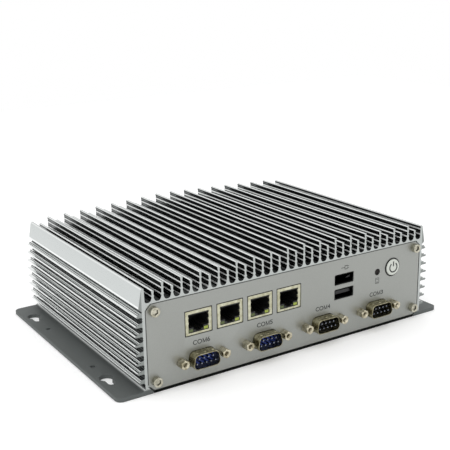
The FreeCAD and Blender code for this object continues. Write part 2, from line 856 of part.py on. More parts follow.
def d_shell(label, x, z, side, facing):
    """Drawn metal shell and flange. facing is -1 at the front and 1 at the rear."""
    turn = 0 if facing < 0 else 180
    body = doc.addObject("PartDesign::Body", f"body_{label}")
    keep(body, label)
    seat = "panel_thick - body_depth / 2" if facing < 0 else "body_depth / 2 - panel_thick"
    body.Placement = Placement(Vector(x, 0, z), Rotation(UP, turn))
    bind(body, "Placement.Base.y", seat)
    width, height, wall = S.com_shell_width, S.com_shell_height, S.com_shell_wall
    inner = d_shape(0, 0, width - 2 * wall, height - 2 * wall, S.com_shell_corner - wall, side)
    ears = [faceted(end * S.jack_spacing / 2, 0, S.jack_hole) for end in (-1, 1)]
    flange = rectangle(0, 0, S.com_flange_width, S.com_flange_height)
    pad(body, [flange] + ears + [inner], "com_flange_thick", back=True)
    length = "panel_thick + com_shell_proud"
    pad(body, [d_shape(0, 0, width, height, S.com_shell_corner, side), inner], length)
    return body


def d_insert(label, x, z, side, facing, foot):
    """Moulded block behind the flange, with a raised face inside the shell and a foot to the board."""
    body = doc.addObject("PartDesign::Body", f"body_{label}")
    keep(body, label)
    seat = "panel_thick + com_flange_thick - body_depth / 2"
    if facing > 0:
        seat = "body_depth / 2 - panel_thick - com_flange_thick"
    body.Placement = Placement(Vector(x, 0, z), Rotation(UP, 0 if facing < 0 else 180))
    bind(body, "Placement.Base.y", seat)
    width, height, wall = S.com_shell_width, S.com_shell_height, S.com_shell_wall
    block_width = S.jack_spacing - S.jack_hole - 0.6
    top = S.com_flange_height / 2
    block = outline([(-block_width / 2, foot), (block_width / 2, foot), (block_width / 2, top), (-block_width / 2, top)])
    pad(body, [block], "com_block_depth", back=True)
    slip = wall + S.seat_gap
    face = d_shape(0, 0, width - 2 * slip, height - 2 * slip, S.com_shell_corner - slip, side)
    pad(body, [face], "com_flange_thick + com_insert_step")
    return body


def d_pins(x, z, side, facing):
    """Five pins in the wide row and four in the narrow row, standing on the insert."""
    face = facing * (S.body_depth / 2 - S.panel_thick + S.com_insert_step)
    axis = Vector(0, facing, 0)
    pins = []
    for count, row in ((5, side), (4, -side)):
        for k in range(count):
            place = Vector(x + (k - (count - 1) / 2) * S.pin_pitch, face, z + row * S.pin_row / 2)
            pins.append(stud(place, axis, S.pin_bore, S.pin_length, 6))
    return pins


def jack_screw(x, z, facing):
    """Hexagonal standoff screw with a threaded hole in its head."""
    face = facing * S.body_depth / 2
    axis = Vector(0, facing, 0)
    start = face if facing > 0 else face - S.jack_proud
    head = prism(hexagon(x, z, S.jack_flats), start, S.jack_proud)
    bore = Part.makeCylinder(S.jack_bore / 2, S.jack_bore_depth, Vector(x, face, z) + axis * S.jack_proud, axis * -1)
    length = S.panel_thick + S.com_flange_thick
    shank = stud(Vector(x, face, z), axis * -1, S.jack_shank, length)
    return head.cut(bore).fuse(shank).removeSplitter()


def d_connectors():
    io_foot = io_top - S.com_height
    vga_foot = board_top - vga_middle
    pins, jacks = [], []
    places = [(n, x, 1) for n, x in zip((1, 2), REAR_COM)]
    places += [(6 - k, x, -1) for k, x in enumerate(com_centres())]
    for number, x, facing in places:
        d_shell(f"com_shell_{number}", x, S.com_height, -1, facing)
        d_insert(f"com_insert_{number}", x, S.com_height, -1, facing, io_foot)
        pins += d_pins(x, S.com_height, -1, facing)
        jacks += [jack_screw(x + end * S.jack_spacing / 2, S.com_height, facing) for end in (-1, 1)]
    d_shell("vga_shell", S.vga_x, vga_middle, -1, 1)
    d_insert("vga_insert", S.vga_x, vga_middle, -1, 1, vga_foot)
    jacks += [jack_screw(S.vga_x + end * S.jack_spacing / 2, vga_middle, 1) for end in (-1, 1)]
    group("com_pins", pins)
    group("jack_screws", jacks)


# ------------------------------------------------------------------------------------ USB sockets


def usb_stack(prefix, x, facing):
    """Two sockets, one over the other, in one folded shell."""
    shell = doc.addObject("PartDesign::Body", f"body_{prefix}_shell")
    keep(shell, f"{prefix}_shell")
    turn = Rotation(UP, 0 if facing < 0 else 180)
    shell.Placement = Placement(Vector(x, 0, 0), turn)
    rear = "usb_setback + usb_depth - body_depth / 2"
    if facing > 0:
        rear = "body_depth / 2 - usb_depth - usb_setback"
    bind(shell, "Placement.Base.y", rear)
    low = S.usb_lower - S.usb_height / 2
    high = S.usb_lower + S.usb_pitch + S.usb_height / 2
    middle, tall = (low + high) / 2, high - low
    levels = [S.usb_lower + k * S.usb_pitch for k in (0, 1)]
    wall = S.usb_wall
    rooms = [rectangle(0, z, S.usb_width - 2 * wall, S.usb_height - 2 * wall) for z in levels]
    pad(shell, [chamfered(0, middle, S.usb_width, tall, 0.4)], "usb_depth + usb_setback - panel_thick")
    pad(shell, [chamfered(0, z, S.usb_width, S.usb_height, 0.4) for z in levels], "usb_depth")
    pocket(shell, rooms, "usb_depth", back=False)
    insert = doc.addObject("PartDesign::Body", f"body_{prefix}_insert")
    keep(insert, f"{prefix}_insert")
    insert.Placement = Placement(Vector(x, 0, 0), turn)
    bind(insert, "Placement.Base.y", rear)
    slip = 2 * (wall + S.seat_gap)
    backs = [rectangle(0, z, S.usb_width - slip, S.usb_height - slip) for z in levels]
    tongues = [rectangle(0, z + S.usb_tongue_rise, S.usb_tongue_width, S.usb_tongue_thick) for z in levels]
    insert.AllowCompound = True
    pad(insert, backs, "usb_block")
    pad(insert, tongues, "usb_depth - usb_tongue_setback")
    return levels


def usb_contacts(levels):
    """Four flat contacts under each tongue of the front sockets."""
    strips = []
    for z in levels:
        for k in range(4):
            x = S.usb_centre + (k - 1.5) * S.usb_contact_pitch
            under = z + S.usb_tongue_rise - S.usb_tongue_thick / 2 - S.usb_contact_thick
            y = front + S.usb_setback + S.usb_tongue_setback + (S.usb_contact_length + 1) / 2
            strips.append(slab(x, y, under, S.usb_contact_width, S.usb_contact_length, S.usb_contact_thick))
    return strips


# ------------------------------------------------------------------------- button, lamp and rear


def power_button():
    """Cap, retaining lip and plunger turned as one piece, which slides straight in."""
    cap, lip, stem = S.button_cap / 2, S.button_lip / 2, S.button_stem / 2
    face, turn = S.button_proud, S.button_round
    seat = -S.panel_thick - S.button_clearance
    lip_back = seat - S.button_lip_thick
    end = seat - S.plunger_length
    profile = [(face, 0), (face, cap - turn), (face - turn * 0.3, cap - turn * 0.3), (face - turn, cap)]
    profile += [(seat, cap), (seat, lip), (lip_back, lip), (lip_back, stem), (end, stem), (end, 0)]
    group("power_button", [turned(profile, Vector(S.button_x, front, S.button_z), FRONT)])


def power_switch():
    """Switch body that stands on the main board and guides the button's plunger."""
    lip_back = front + S.panel_thick + S.button_clearance + S.button_lip_thick
    start = lip_back + S.button_travel + S.switch_gap
    top = S.button_z + S.switch_rise
    block = slab(S.button_x, start + S.switch_length / 2, board_top, S.switch_width, S.switch_length, top - board_top)
    depth = S.switch_length - S.switch_back
    bore = Part.makeCylinder(S.button_stem / 2 + S.switch_fit, depth, Vector(S.button_x, start, S.button_z), BACK)
    group("power_switch", [block.cut(bore)])


def status_light():
    """Smoked pipe that brings a board lamp's light to the panel."""
    r = S.lamp_bore / 2 - S.lamp_clearance
    start = front + S.lamp_setback
    pipe = Part.makeCylinder(r, S.lamp_length, Vector(S.lamp_x, start, S.lamp_z), BACK)
    y = start + S.lamp_length - S.lamp_leg / 2
    leg = slab(S.lamp_x, y, board_top, 2 * r, S.lamp_leg, S.lamp_z - board_top)
    group("status_light", [pipe.fuse(leg).removeSplitter()])


def audio_jack(label, x):
    rear = S.body_depth / 2
    inner = rear - S.panel_thick
    body = slab(x, inner - S.audio_depth / 2, board_top, S.audio_width, S.audio_depth, S.audio_height)
    nose = Part.makeCylinder(S.audio_nose / 2, S.panel_thick + S.audio_proud, Vector(x, inner, audio_middle), BACK)
    bore = Part.makeCylinder(S.audio_bore / 2, S.audio_depth, Vector(x, rear + S.audio_proud, audio_middle), FRONT)
    group(label, [body.fuse(nose).cut(bore).removeSplitter()])


def dc_input():
    rear = S.body_depth / 2
    inner = rear - S.panel_thick
    body = slab(S.dc_x, inner - S.dc_depth / 2, board_top, S.dc_width, S.dc_depth, S.dc_height)
    nose = Part.makeCylinder(S.dc_nose / 2, S.panel_thick, Vector(S.dc_x, inner, dc_middle), BACK)
    bore = Part.makeCylinder(S.dc_bore / 2, S.dc_bore_depth, Vector(S.dc_x, rear, dc_middle), FRONT)
    group("dc_jack", [body.fuse(nose).cut(bore).removeSplitter()])
    contact = Part.makeCylinder(S.dc_pin / 2, S.dc_pin_length, Vector(S.dc_x, rear - S.dc_bore_depth, dc_middle), BACK)
    group("dc_jack_contact", [contact])


# ---------------------------------------------------------------------------------------- boards

CORNERS = [(sx, sy) for sx in (-1, 1) for sy in (-1, 1)]
STACK = [(sx * (board_x - S.stack_side), sy * (board_y - S.stack_end)) for sx, sy in CORNERS]
leg_reach = S.block_width / 2 - S.block_leg_inset
BLOCK_LEGS = [(sx * leg_reach, S.cpu_shift + sy * leg_reach) for sx, sy in CORNERS]


def board(label, height, extra_holes=()):
    body = doc.addObject("PartDesign::Body", f"body_{label}")
    keep(body, label)
    bind(body, "Placement.Base.z", height)
    holes = [faceted(x, y, S.board_hole) for x, y in list(STACK) + list(extra_holes)]
    pad(body, [rectangle(0, 0, 2 * board_x, 2 * board_y)] + holes, "board_thick", plane="XY_Plane")
    return body


def usb_notch(x, end):
    """Room in the main board's edge, where a pair of USB sockets sits below the board's top."""
    width, depth = S.usb_width + 2 * S.notch_gap, S.usb_depth + S.usb_setback + S.notch_gap
    return rectangle(x, end * (S.body_depth - depth) / 2, width, depth)


def standoff(x, y, low, high):
    """Hexagonal tube between two levels."""
    flats = prism(hexagon(0, 0, S.standoff_flats), 0, high - low)
    flats.rotate(Vector(0, 0, 0), Vector(1, 0, 0), 90)
    flats.translate(Vector(x, y, low))
    return flats.cut(stud(Vector(x, y, low), UP, S.standoff_bore, high - low))


def boards():
    board("io_board", "io_board_height")
    main_board = board("main_board", "main_board_height", BLOCK_LEGS)
    notches = [usb_notch(S.usb_centre, -1), usb_notch(S.rear_usb_x, 1)]
    pocket(main_board, notches, "board_thick", plane="XY_Plane", back=False)
    group("short_standoffs", [standoff(x, y, S.plate_thick, S.io_board_height) for x, y in STACK])
    group("long_standoffs", [standoff(x, y, io_top, S.main_board_height) for x, y in STACK])
    reach = S.board_thick + S.stack_screw_reach
    screws = [stack_screw(x, y, board_top, reach) for x, y in STACK]
    reach = S.board_thick + S.block_screw_reach
    screws += [stack_screw(x, y, S.main_board_height, reach, DOWN) for x, y in BLOCK_LEGS]
    group("board_screws", screws)
    header_y = board_y - S.header_inset
    group("board_connector", [slab(0, header_y, io_top, S.header_length, S.header_width, S.main_board_height - io_top)])


def cooling():
    """Processor, pad and the aluminium block that carries its heat to the ceiling."""
    y = S.cpu_shift
    lid_low = board_top + S.cpu_base_thick
    pad_low = lid_low + S.cpu_lid_thick
    block_low = pad_low + S.pad_thick
    substrate = slab(0, y, board_top, S.cpu_base, S.cpu_base, S.cpu_base_thick)
    lid = slab(0, y, lid_low, S.cpu_lid, S.cpu_lid, S.cpu_lid_thick)
    group("processor", [substrate.fuse(lid)])
    group("thermal_pad", [slab(0, y, pad_low, S.cpu_lid, S.cpu_lid, S.pad_thick)])
    block = slab(0, y, block_low, S.block_width, S.block_width, ceiling - block_low)
    legs = [stud(Vector(x, z, board_top), UP, S.block_leg, block_low - board_top) for x, z in BLOCK_LEGS]
    taps = [stud(Vector(x, z, board_top), UP, S.standoff_bore, S.block_tap_depth) for x, z in BLOCK_LEGS]
    group("heat_block", [block.fuse(legs).cut(taps).removeSplitter()])


def memory():
    """Laptop-style memory lying in its socket."""
    x, y, half = S.memory_inset - board_x, S.memory_shift, S.memory_bar_length / 2
    edge = x - S.memory_bar_width / 2
    bar = slab(x, y, board_top, S.memory_bar_width, S.memory_bar_length, S.memory_bar_height)
    reach, thick = S.memory_arm_length, S.memory_arm_width
    sides = [y + side * (half - thick / 2) for side in (-1, 1)]
    arms = [slab(edge - reach / 2, place, board_top, reach, thick, S.memory_arm_height) for place in sides]
    level = board_top + S.card_level
    length, gap = S.memory_card_length, S.slot_gap
    slot = slab(edge + S.slot_depth / 2, y, level - gap, S.slot_depth, length + 2 * gap, S.card_thick + 2 * gap)
    group("memory_socket", [bar.fuse(arms).cut(slot).removeSplitter()])
    depth = S.memory_card_depth
    card = slab(edge + S.slot_depth - gap - depth / 2, y, level, depth, length, S.card_thick)
    chip_x = edge - S.memory_arm_length / 2
    rows = [y + (k - 1.5) * S.chip_pitch for k in range(4)]
    top = level + S.card_thick
    chips = [slab(chip_x, row, top, S.chip_width, S.chip_length, S.chip_height) for row in rows]
    group("memory_module", [card.fuse(chips)])


def storage():
    """Small solid-state drive in its edge socket."""
    x, y = board_x - S.drive_side, S.drive_end - board_y
    depth, gap = S.drive_socket_depth, S.slot_gap
    level = board_top + S.card_level
    base = slab(x, y, board_top, S.drive_socket_width, depth, S.drive_socket_height)
    back = y + depth / 2
    width, length = S.drive_card_width, S.drive_card_length
    slot = slab(x, back - S.slot_depth / 2, level - gap, width + 2 * gap, S.slot_depth, S.card_thick + 2 * gap)
    group("ssd_socket", [base.cut(slot)])
    card_y = back - S.slot_depth + gap + length / 2
    card = slab(x, card_y, level, width, length, S.card_thick)
    top = level + S.card_thick
    rows = [card_y + side * S.chip_pitch / 2 for side in (-1, 1)]
    chips = [slab(x, row, top, 2 * S.chip_width, S.chip_length, S.chip_height) for row in rows]
    group("ssd_module", [card.fuse(chips)])


def clock_cell():
    x, y = board_x - S.cell_side, board_y - S.cell_end
    floor = board_top + S.cell_floor
    room_r = S.cell_width / 2 + S.cell_gap
    holder = Part.makeCylinder(room_r + S.cell_wall, S.cell_floor + S.cell_height, Vector(x, y, board_top), UP)
    room = Part.makeCylinder(room_r, S.cell_height, Vector(x, y, floor), UP)
    group("coin_cell_holder", [holder.cut(room)])
    group("coin_cell", [Part.makeCylinder(S.cell_width / 2, S.cell_height, Vector(x, y, floor), UP)])


# ------------------------------------------------------------------------------------------ build


def build():
    extruded_body()
    front_panel()
    rear_panel()
    bottom_plate()
    fasteners()
    lan_ports()
    d_connectors()
    levels = usb_stack("usb", S.usb_centre, -1)
    group("usb_contacts", usb_contacts(levels))
    usb_stack("rear_usb", S.rear_usb_x, 1)
    power_button()
    power_switch()
    status_light()
    audio_jack("line_out_jack", S.line_out_x)
    audio_jack("mic_jack", S.mic_x)
    dc_input()
    boards()
    cooling()
    memory()
    storage()
    clock_cell()
    doc.recompute()


def check():
    """Stop before writing if any object failed or holds no sound shape."""
    for obj in doc.Objects:
        if any(word in obj.State for word in ("Invalid", "Error")):
            raise RuntimeError(f"{obj.Label} failed: {obj.State}")
    for node in nodes:
        if node.Shape.isNull() or not node.Shape.isValid() or not node.Shape.Solids:
            raise RuntimeError(f"{node.Label} holds no valid solid")


def write():
    os.makedirs("parts", exist_ok=True)
    for node in nodes:
        node.Shape.exportStep(f"parts/{node.Label}.step")


build()
check()
write()
print(len(nodes), "pieces written")
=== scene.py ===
"""Looks of a fanless industrial computer: its cut edges, sockets, screws, printing and finishes."""
import json
import math

import bmesh
import bpy
from mathutils import Matrix, Vector


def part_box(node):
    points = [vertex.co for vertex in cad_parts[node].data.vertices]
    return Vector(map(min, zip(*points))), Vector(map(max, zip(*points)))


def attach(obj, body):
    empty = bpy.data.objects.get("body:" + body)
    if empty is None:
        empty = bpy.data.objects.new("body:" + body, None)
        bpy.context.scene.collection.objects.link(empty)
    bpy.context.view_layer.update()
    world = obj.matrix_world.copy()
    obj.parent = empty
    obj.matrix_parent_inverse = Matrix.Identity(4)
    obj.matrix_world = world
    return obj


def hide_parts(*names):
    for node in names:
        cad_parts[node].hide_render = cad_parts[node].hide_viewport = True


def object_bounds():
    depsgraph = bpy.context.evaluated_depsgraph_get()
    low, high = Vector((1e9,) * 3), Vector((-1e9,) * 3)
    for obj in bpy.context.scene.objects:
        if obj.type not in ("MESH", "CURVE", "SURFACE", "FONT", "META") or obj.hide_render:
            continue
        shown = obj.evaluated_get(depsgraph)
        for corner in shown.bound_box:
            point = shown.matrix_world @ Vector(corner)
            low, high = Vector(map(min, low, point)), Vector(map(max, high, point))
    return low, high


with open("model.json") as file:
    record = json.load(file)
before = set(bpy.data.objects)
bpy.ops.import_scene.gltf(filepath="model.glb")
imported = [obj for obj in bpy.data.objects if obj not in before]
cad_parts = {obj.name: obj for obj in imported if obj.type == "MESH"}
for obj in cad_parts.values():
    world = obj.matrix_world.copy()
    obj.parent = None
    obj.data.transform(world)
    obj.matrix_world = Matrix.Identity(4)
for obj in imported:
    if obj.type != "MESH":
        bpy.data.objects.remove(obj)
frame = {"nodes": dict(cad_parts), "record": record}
cad_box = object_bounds()
NODES = frame["nodes"]
MM = 0.001

# ------------------------------------------------------------------------------ camera and light

LENS_MM = 70.375
SENSOR_MM = 36.0
CAMERA_AT = Vector((-275.24, -435.54, 204.94)) * MM
AZIMUTH, ELEVATION, ROLL = (math.radians(a) for a in (-32.459, 16.112, -1.031))
LAMPS_AIM = Vector((0, 0, 0.03))


def place_camera():
    """Camera at the viewing angle, with its small roll."""
    right = Vector((math.cos(AZIMUTH), math.sin(AZIMUTH), 0))
    back = Vector((
        math.sin(AZIMUTH) * math.cos(ELEVATION),
        -math.cos(AZIMUTH) * math.cos(ELEVATION),
        math.sin(ELEVATION),
    ))
    up = back.cross(right)
    turned_right = right * math.cos(ROLL) + up * math.sin(ROLL)
    turned_up = up * math.cos(ROLL) - right * math.sin(ROLL)
    data = bpy.data.cameras.new("camera")
    data.lens = LENS_MM
    data.sensor_width = SENSOR_MM
    camera = bpy.data.objects.new("camera", data)
    camera.matrix_world = Matrix((turned_right, turned_up, back)).transposed().to_4x4()
    camera.matrix_world.translation = CAMERA_AT
    bpy.context.collection.objects.link(camera)
    bpy.context.scene.camera = camera


def soft_box(name, at, width, height, watts):
    """Rectangular lamp that faces the object."""
    data = bpy.data.lights.new(name, "AREA")
    data.shape = "RECTANGLE"
    data.size = width
    data.size_y = height
    data.energy = watts
    lamp = bpy.data.objects.new(name, data)
    lamp.location = at
    lamp.rotation_euler = (LAMPS_AIM - Vector(at)).to_track_quat("-Z", "Y").to_euler()
    bpy.context.collection.objects.link(lamp)


# ------------------------------------------------------------------------------------- materials

# The extrusion's own sizes, in millimetres.
FIN_STEP = 5.51
ROOF_CROWN = 62.2
ROOF_SLOPE = math.radians(2.5)
BEAD_PITCH = 3.1
CAVITY_FLOOR = 49.15
SIDE_ROOT = 94.3
SIDE_STEP = SIDE_ROOT + 1.9

# Where each share of a finish is nothing and where it is full, in millimetres.
FIN_CORE = (1.3, 1.1)
BEAD_RIDGE = (0.55, 0.3)
BEAD_ROOT = (1.2, 1.45)
LOW_FLANK = (2.0, 2.4)
ROOF_LEVEL = (CAVITY_FLOOR - 0.6, CAVITY_FLOOR - 0.3)
ROOF_REACH = (93.05, 92.95)
ROOT_REACH = (SIDE_ROOT + 0.9, SIDE_ROOT + 0.6)
STEP_REACH = (0.4, 0.2)
ABOVE_EAR = (3.6, 4.4)
UNDER_FLANGE = (45.3, 44.9)
SIDE_REACH = (93.9, 94.1)
FLANGE_REACH = (93.6, 94.0)
FLANGE_LOW = (47.6, 48.0)
FLANGE_HIGH = (56.8, 56.4)
EAR_LEVEL = (3.4, 2.3)
TEETH_REACH = (94.3, 94.6)
CREST_LEVEL = (50.0, 51.0)
VALLEY_HEIGHT = (50.0, 59.5)
PLATE_EDGE = (73.0, 73.3)

# The same for the way that a face looks, as a cosine.
ALONG = (0.7, 0.3)
SAWN = (0.8, 0.95)
UPWARD = (0.97, 0.99)
CAP_SIDE = (0.4, 0.2)

# Nearly all of a noise pattern lies within this range.
NOISE_SPREAD = {"From Min": 0.35, "From Max": 0.65}

# How much the painted valley shade lightens midway between two bead ridges, as a faint painted highlight.
ROOT_GLOW = 0.15

# A colour mix shares its socket names with other kinds of mix, so its two inputs and its result go by number.
A, B, MIXED = 6, 7, 2


def linear(text):
    """Linear RGBA of an sRGB hex colour."""
    parts = [int(text[i:i + 2], 16) / 255 for i in (1, 3, 5)]
    return tuple(c / 12.92 if c <= 0.04045 else ((c + 0.055) / 1.055) ** 2.4 for c in parts) + (1.0,)


def add(tree, kind, inputs=None, **settings):
    """One shader node. inputs gives each socket a value or the output that feeds it."""
    made = tree.nodes.new("ShaderNode" + kind)
    for name, value in settings.items():
        setattr(made, name, value)
    for socket, value in (inputs or {}).items():
        if isinstance(value, bpy.types.NodeSocket):
            tree.links.new(value, made.inputs[socket])
        else:
            made.inputs[socket].default_value = value
    return made


def material(name, metallic, roughness, **sockets):
    """A material with its shader, and the object coordinates that its patterns read."""
    new = bpy.data.materials.new(name)
    new.use_nodes = True
    tree = new.node_tree
    tree.nodes.clear()
    shader = add(tree, "BsdfPrincipled", {"Metallic": metallic, "Roughness": roughness})
    for socket, value in sockets.items():
        shader.inputs[socket.replace("_", " ")].default_value = value
    add(tree, "OutputMaterial", {"Surface": shader.outputs["BSDF"]})
    place = add(tree, "TexCoord").outputs["Object"]
    return new, tree, shader, place


def roof_valleys(tree, where, reach, along):
    """The share of painted shade in the valleys between the roof fins, and the share that is a low bead
    ridge.
    """
    step, pitch = FIN_STEP * MM, BEAD_PITCH * MM
    near = add(tree, "Math", {0: where["X"], 1: step / 2, 2: -step / 2}, operation="WRAP").outputs[0]
    off = add(tree, "Math", {0: near}, operation="ABSOLUTE").outputs[0]
    slope = {0: reach, 1: -math.tan(ROOF_SLOPE), 2: ROOF_CROWN * MM}
    crown = add(tree, "Math", slope, operation="MULTIPLY_ADD").outputs[0]
    below = add(tree, "Math", {0: crown, 1: where["Z"]}, operation="SUBTRACT").outputs[0]
    beat = add(tree, "Math", {0: below, 1: pitch / 2, 2: -pitch / 2}, operation="WRAP").outputs[0]
    away = add(tree, "Math", {0: beat}, operation="ABSOLUTE").outputs[0]
    fin, bead, between, roof, inside, lower = [
        add(tree, "MapRange", {"Value": value, "From Min": none * MM, "From Max": full * MM}).outputs[0]
        for value, (none, full) in (
            (off, FIN_CORE), (away, BEAD_RIDGE), (away, BEAD_ROOT),
            (where["Z"], ROOF_LEVEL), (reach, ROOF_REACH), (below, LOW_FLANK),
        )
    ]
    faint = add(tree, "Math", {0: between, 1: ROOT_GLOW}, operation="MULTIPLY").outputs[0]
    lines = add(tree, "Math", {0: bead, 1: faint}, operation="MAXIMUM").outputs[0]
    lit = add(tree, "Math", {0: lines, 1: fin}, operation="MULTIPLY").outputs[0]
    valley = add(tree, "Math", {0: 1.0, 1: lit}, operation="SUBTRACT").outputs[0]
    ridge = add(tree, "Math", {0: lit, 1: lower}, operation="MULTIPLY").outputs[0]
    for mask in (roof, inside, along):
        valley = add(tree, "Math", {0: valley, 1: mask}, operation="MULTIPLY").outputs[0]
        ridge = add(tree, "Math", {0: ridge, 1: mask}, operation="MULTIPLY").outputs[0]
    return valley, ridge


def side_grooves(tree, where, reach, along):
    """Painted shade: 1 at the roots and at the steps of the side fins, and 0 at their outer faces and
    elsewhere.
    """
    off = add(tree, "Math", {0: reach, 1: SIDE_STEP * MM}, operation="SUBTRACT").outputs[0]
    off = add(tree, "Math", {0: off}, operation="ABSOLUTE").outputs[0]
    root, step, above, under, out = [
        add(tree, "MapRange", {"Value": value, "From Min": none * MM, "From Max": full * MM}).outputs[0]
        for value, (none, full) in (
            (reach, ROOT_REACH), (off, STEP_REACH), (where["Z"], ABOVE_EAR),
            (where["Z"], UNDER_FLANGE), (reach, SIDE_REACH),
        )
    ]
    share = add(tree, "Math", {0: root, 1: step}, operation="MAXIMUM").outputs[0]
    for mask in (above, under, along, out):
        share = add(tree, "Math", {0: share, 1: mask}, operation="MULTIPLY").outputs[0]
    return share


def flange_face(tree, where, reach):
    """1 on the plain face of the roof's side flanges, painted greyer than their rims and the fin edges, whose
    light tone stands as a painted highlight.
    """
    share, low, high = [
        add(tree, "MapRange", {"Value": value, "From Min": none * MM, "From Max": full * MM}).outputs[0]
        for value, (none, full) in (
            (reach, FLANGE_REACH), (where["Z"], FLANGE_LOW), (where["Z"], FLANGE_HIGH),
        )
    ]
    for mask in (low, high):
        share = add(tree, "Math", {0: share, 1: mask}, operation="MULTIPLY").outputs[0]
    return share


def anodised_extrusion():
    """Satin anodised 6063 extrusion.

    Drawing lines along its length pull its gloss into long soft streaks. Its saw-cut ends are greyer and the
    ears keep a dull dark skin. Painted shade darkens the valleys between the roof fins, the grooves of the
    side fins and the fin tops, so that the fin edges stand out, and the flange faces are painted greyer, so
    that their rims keep the light tone as a painted highlight.
    """
    new, tree, shader, place = material("anodised_extrusion", 1.0, 0.22)
    # Real drawing lines are about 0.1 mm wide. They are drawn 0.5 mm wide and 80 mm long, so that they show.
    drawn = add(tree, "Mapping", {"Vector": place, "Scale": (1.0, 0.006, 1.0)}).outputs[0]
    lines = add(tree, "TexNoise", {"Vector": drawn, "Scale": 1 / (0.5 * MM), "Detail": 3.0}).outputs["Fac"]
    cloud = add(tree, "TexNoise", {"Vector": place, "Scale": 1 / (22 * MM), "Detail": 3.0}).outputs["Fac"]
    where = add(tree, "SeparateXYZ", {"Vector": place}).outputs
    normal = add(tree, "SeparateXYZ", {"Vector": add(tree, "NewGeometry").outputs["Normal"]}).outputs
    reach = add(tree, "Math", {0: where["X"]}, operation="ABSOLUTE").outputs[0]
    end = add(tree, "Math", {0: normal["Y"]}, operation="ABSOLUTE").outputs[0]
    ears, outer, above, height = [
        add(tree, "MapRange", {"Value": value, "From Min": none * MM, "From Max": full * MM}).outputs[0]
        for value, (none, full) in (
            (where["Z"], EAR_LEVEL), (reach, TEETH_REACH),
            (where["Z"], CREST_LEVEL), (where["Z"], VALLEY_HEIGHT),
        )
    ]
    along, sawn, upward = [
        add(tree, "MapRange", {"Value": value, "From Min": none, "From Max": full}).outputs[0]
        for value, (none, full) in ((end, ALONG), (end, SAWN), (normal["Z"], UPWARD))
    ]
    teeth = add(tree, "Math", {0: sawn, 1: outer}, operation="MULTIPLY").outputs[0]
    # Painted shade darkens the upward faces of the roof's fin tops and flanges.
    crest_shade = add(tree, "Math", {0: upward, 1: above}, operation="MULTIPLY").outputs[0]
    valleys, ridges = roof_valleys(tree, where, reach, along)
    # Painted shade in the roof valleys: darkest low on their walls, lighter higher up and on their upward
    # floors.
    wall = add(tree, "Mix", {"Factor": height, A: linear("#151918"), B: linear("#2A2F2E")}, data_type="RGBA")
    dark = {"Factor": upward, A: wall.outputs[MIXED], B: linear("#505453")}
    dark = add(tree, "Mix", dark, data_type="RGBA")
    tone = add(tree, "Mix", {"Factor": lines, A: linear("#E2E5E4"), B: linear("#EEF0EF")}, data_type="RGBA")
    for mask, shade in (
        # The flange face is painted greyer, so that its rims keep the light tone as a painted highlight.
        (flange_face(tree, where, reach), linear("#BDC1C0")),
        (sawn, linear("#AEB2B0")),
        (teeth, linear("#868A88")),
        (crest_shade, linear("#9A9E9D")),
        (ears, linear("#5A5E5D")),
        (valleys, dark.outputs[MIXED]),
        # Painted shade in the grooves and steps of the side fins.
        (side_grooves(tree, where, reach, along), linear("#262A29")),
    ):
        tone = add(tree, "Mix", {"Factor": mask, A: tone.outputs[MIXED], B: shade}, data_type="RGBA")
    tree.links.new(tone.outputs[MIXED], shader.inputs["Base Color"])
    # The dull ears and the low bead ridges reflect less, so that they keep their own tone in the shade.
    metal = 1.0
    for mask, loss in ((ears, -0.65), (ridges, -0.7)):
        metal = add(tree, "Math", {0: mask, 1: loss, 2: metal}, operation="MULTIPLY_ADD").outputs[0]
    tree.links.new(metal, shader.inputs["Metallic"])
    satin = {"Value": cloud, **NOISE_SPREAD, "To Min": 0.16, "To Max": 0.21}
    satin = add(tree, "MapRange", satin).outputs[0]
    rough = add(tree, "Math", {0: ears, 1: 0.42, 2: satin}, operation="MULTIPLY_ADD").outputs[0]
    tree.links.new(rough, shader.inputs["Roughness"])
    bump = add(tree, "Bump", {"Height": lines, "Distance": 0.002 * MM, "Strength": 1.0})
    tree.links.new(bump.outputs["Normal"], shader.inputs["Normal"])
    return new


def blasted_sheet(name, light, dark):
    """Bead-blasted anodised sheet. Its fine grit spreads the light to an even matte silver."""
    new, tree, shader, place = material(name, 0.8, 0.4)
    # Real grit leaves pits of about 0.1 mm. They are drawn at 0.35 mm, so that they show.
    grit = add(tree, "TexNoise", {"Vector": place, "Scale": 1 / (0.35 * MM), "Detail": 3.0}).outputs["Fac"]
    cloud = add(tree, "TexNoise", {"Vector": place, "Scale": 1 / (30 * MM), "Detail": 2.0}).outputs["Fac"]
    tone = add(tree, "Mix", {"Factor": grit, A: linear(dark), B: linear(light)}, data_type="RGBA")
    tree.links.new(tone.outputs[MIXED], shader.inputs["Base Color"])
    rough = add(tree, "MapRange", {"Value": cloud, **NOISE_SPREAD, "To Min": 0.37, "To Max": 0.43})
    tree.links.new(rough.outputs[0], shader.inputs["Roughness"])
    bump = add(tree, "Bump", {"Height": grit, "Distance": 0.003 * MM, "Strength": 1.0})
    tree.links.new(bump.outputs["Normal"], shader.inputs["Normal"])
    return new


def stained(new, mask, colour):
    """A finish with another colour where a mask says."""
    tree = new.node_tree
    base = tree.nodes["Principled BSDF"].inputs["Base Color"]
    own = base.links[0].from_socket
    tone = add(tree, "Mix", {"Factor": mask, A: own, B: linear(colour)}, data_type="RGBA")
    tree.links.new(tone.outputs[MIXED], base)
    return new


def pale_cap():
    """Pale moulded button top over a black side, so that a dark edge shows where the cap stands proud."""
    new = moulded("pale_polycarbonate_cap", "#CDD1C9", "#C2C6BE", 0.36)
    tree = new.node_tree
    normal = add(tree, "SeparateXYZ", {"Vector": add(tree, "NewGeometry").outputs["Normal"]}).outputs
    outward = add(tree, "Math", {0: normal["Y"]}, operation="ABSOLUTE").outputs[0]
    none, full = CAP_SIDE
    side = add(tree, "MapRange", {"Value": outward, "From Min": none, "From Max": full}).outputs[0]
    return stained(new, side, "#121413")


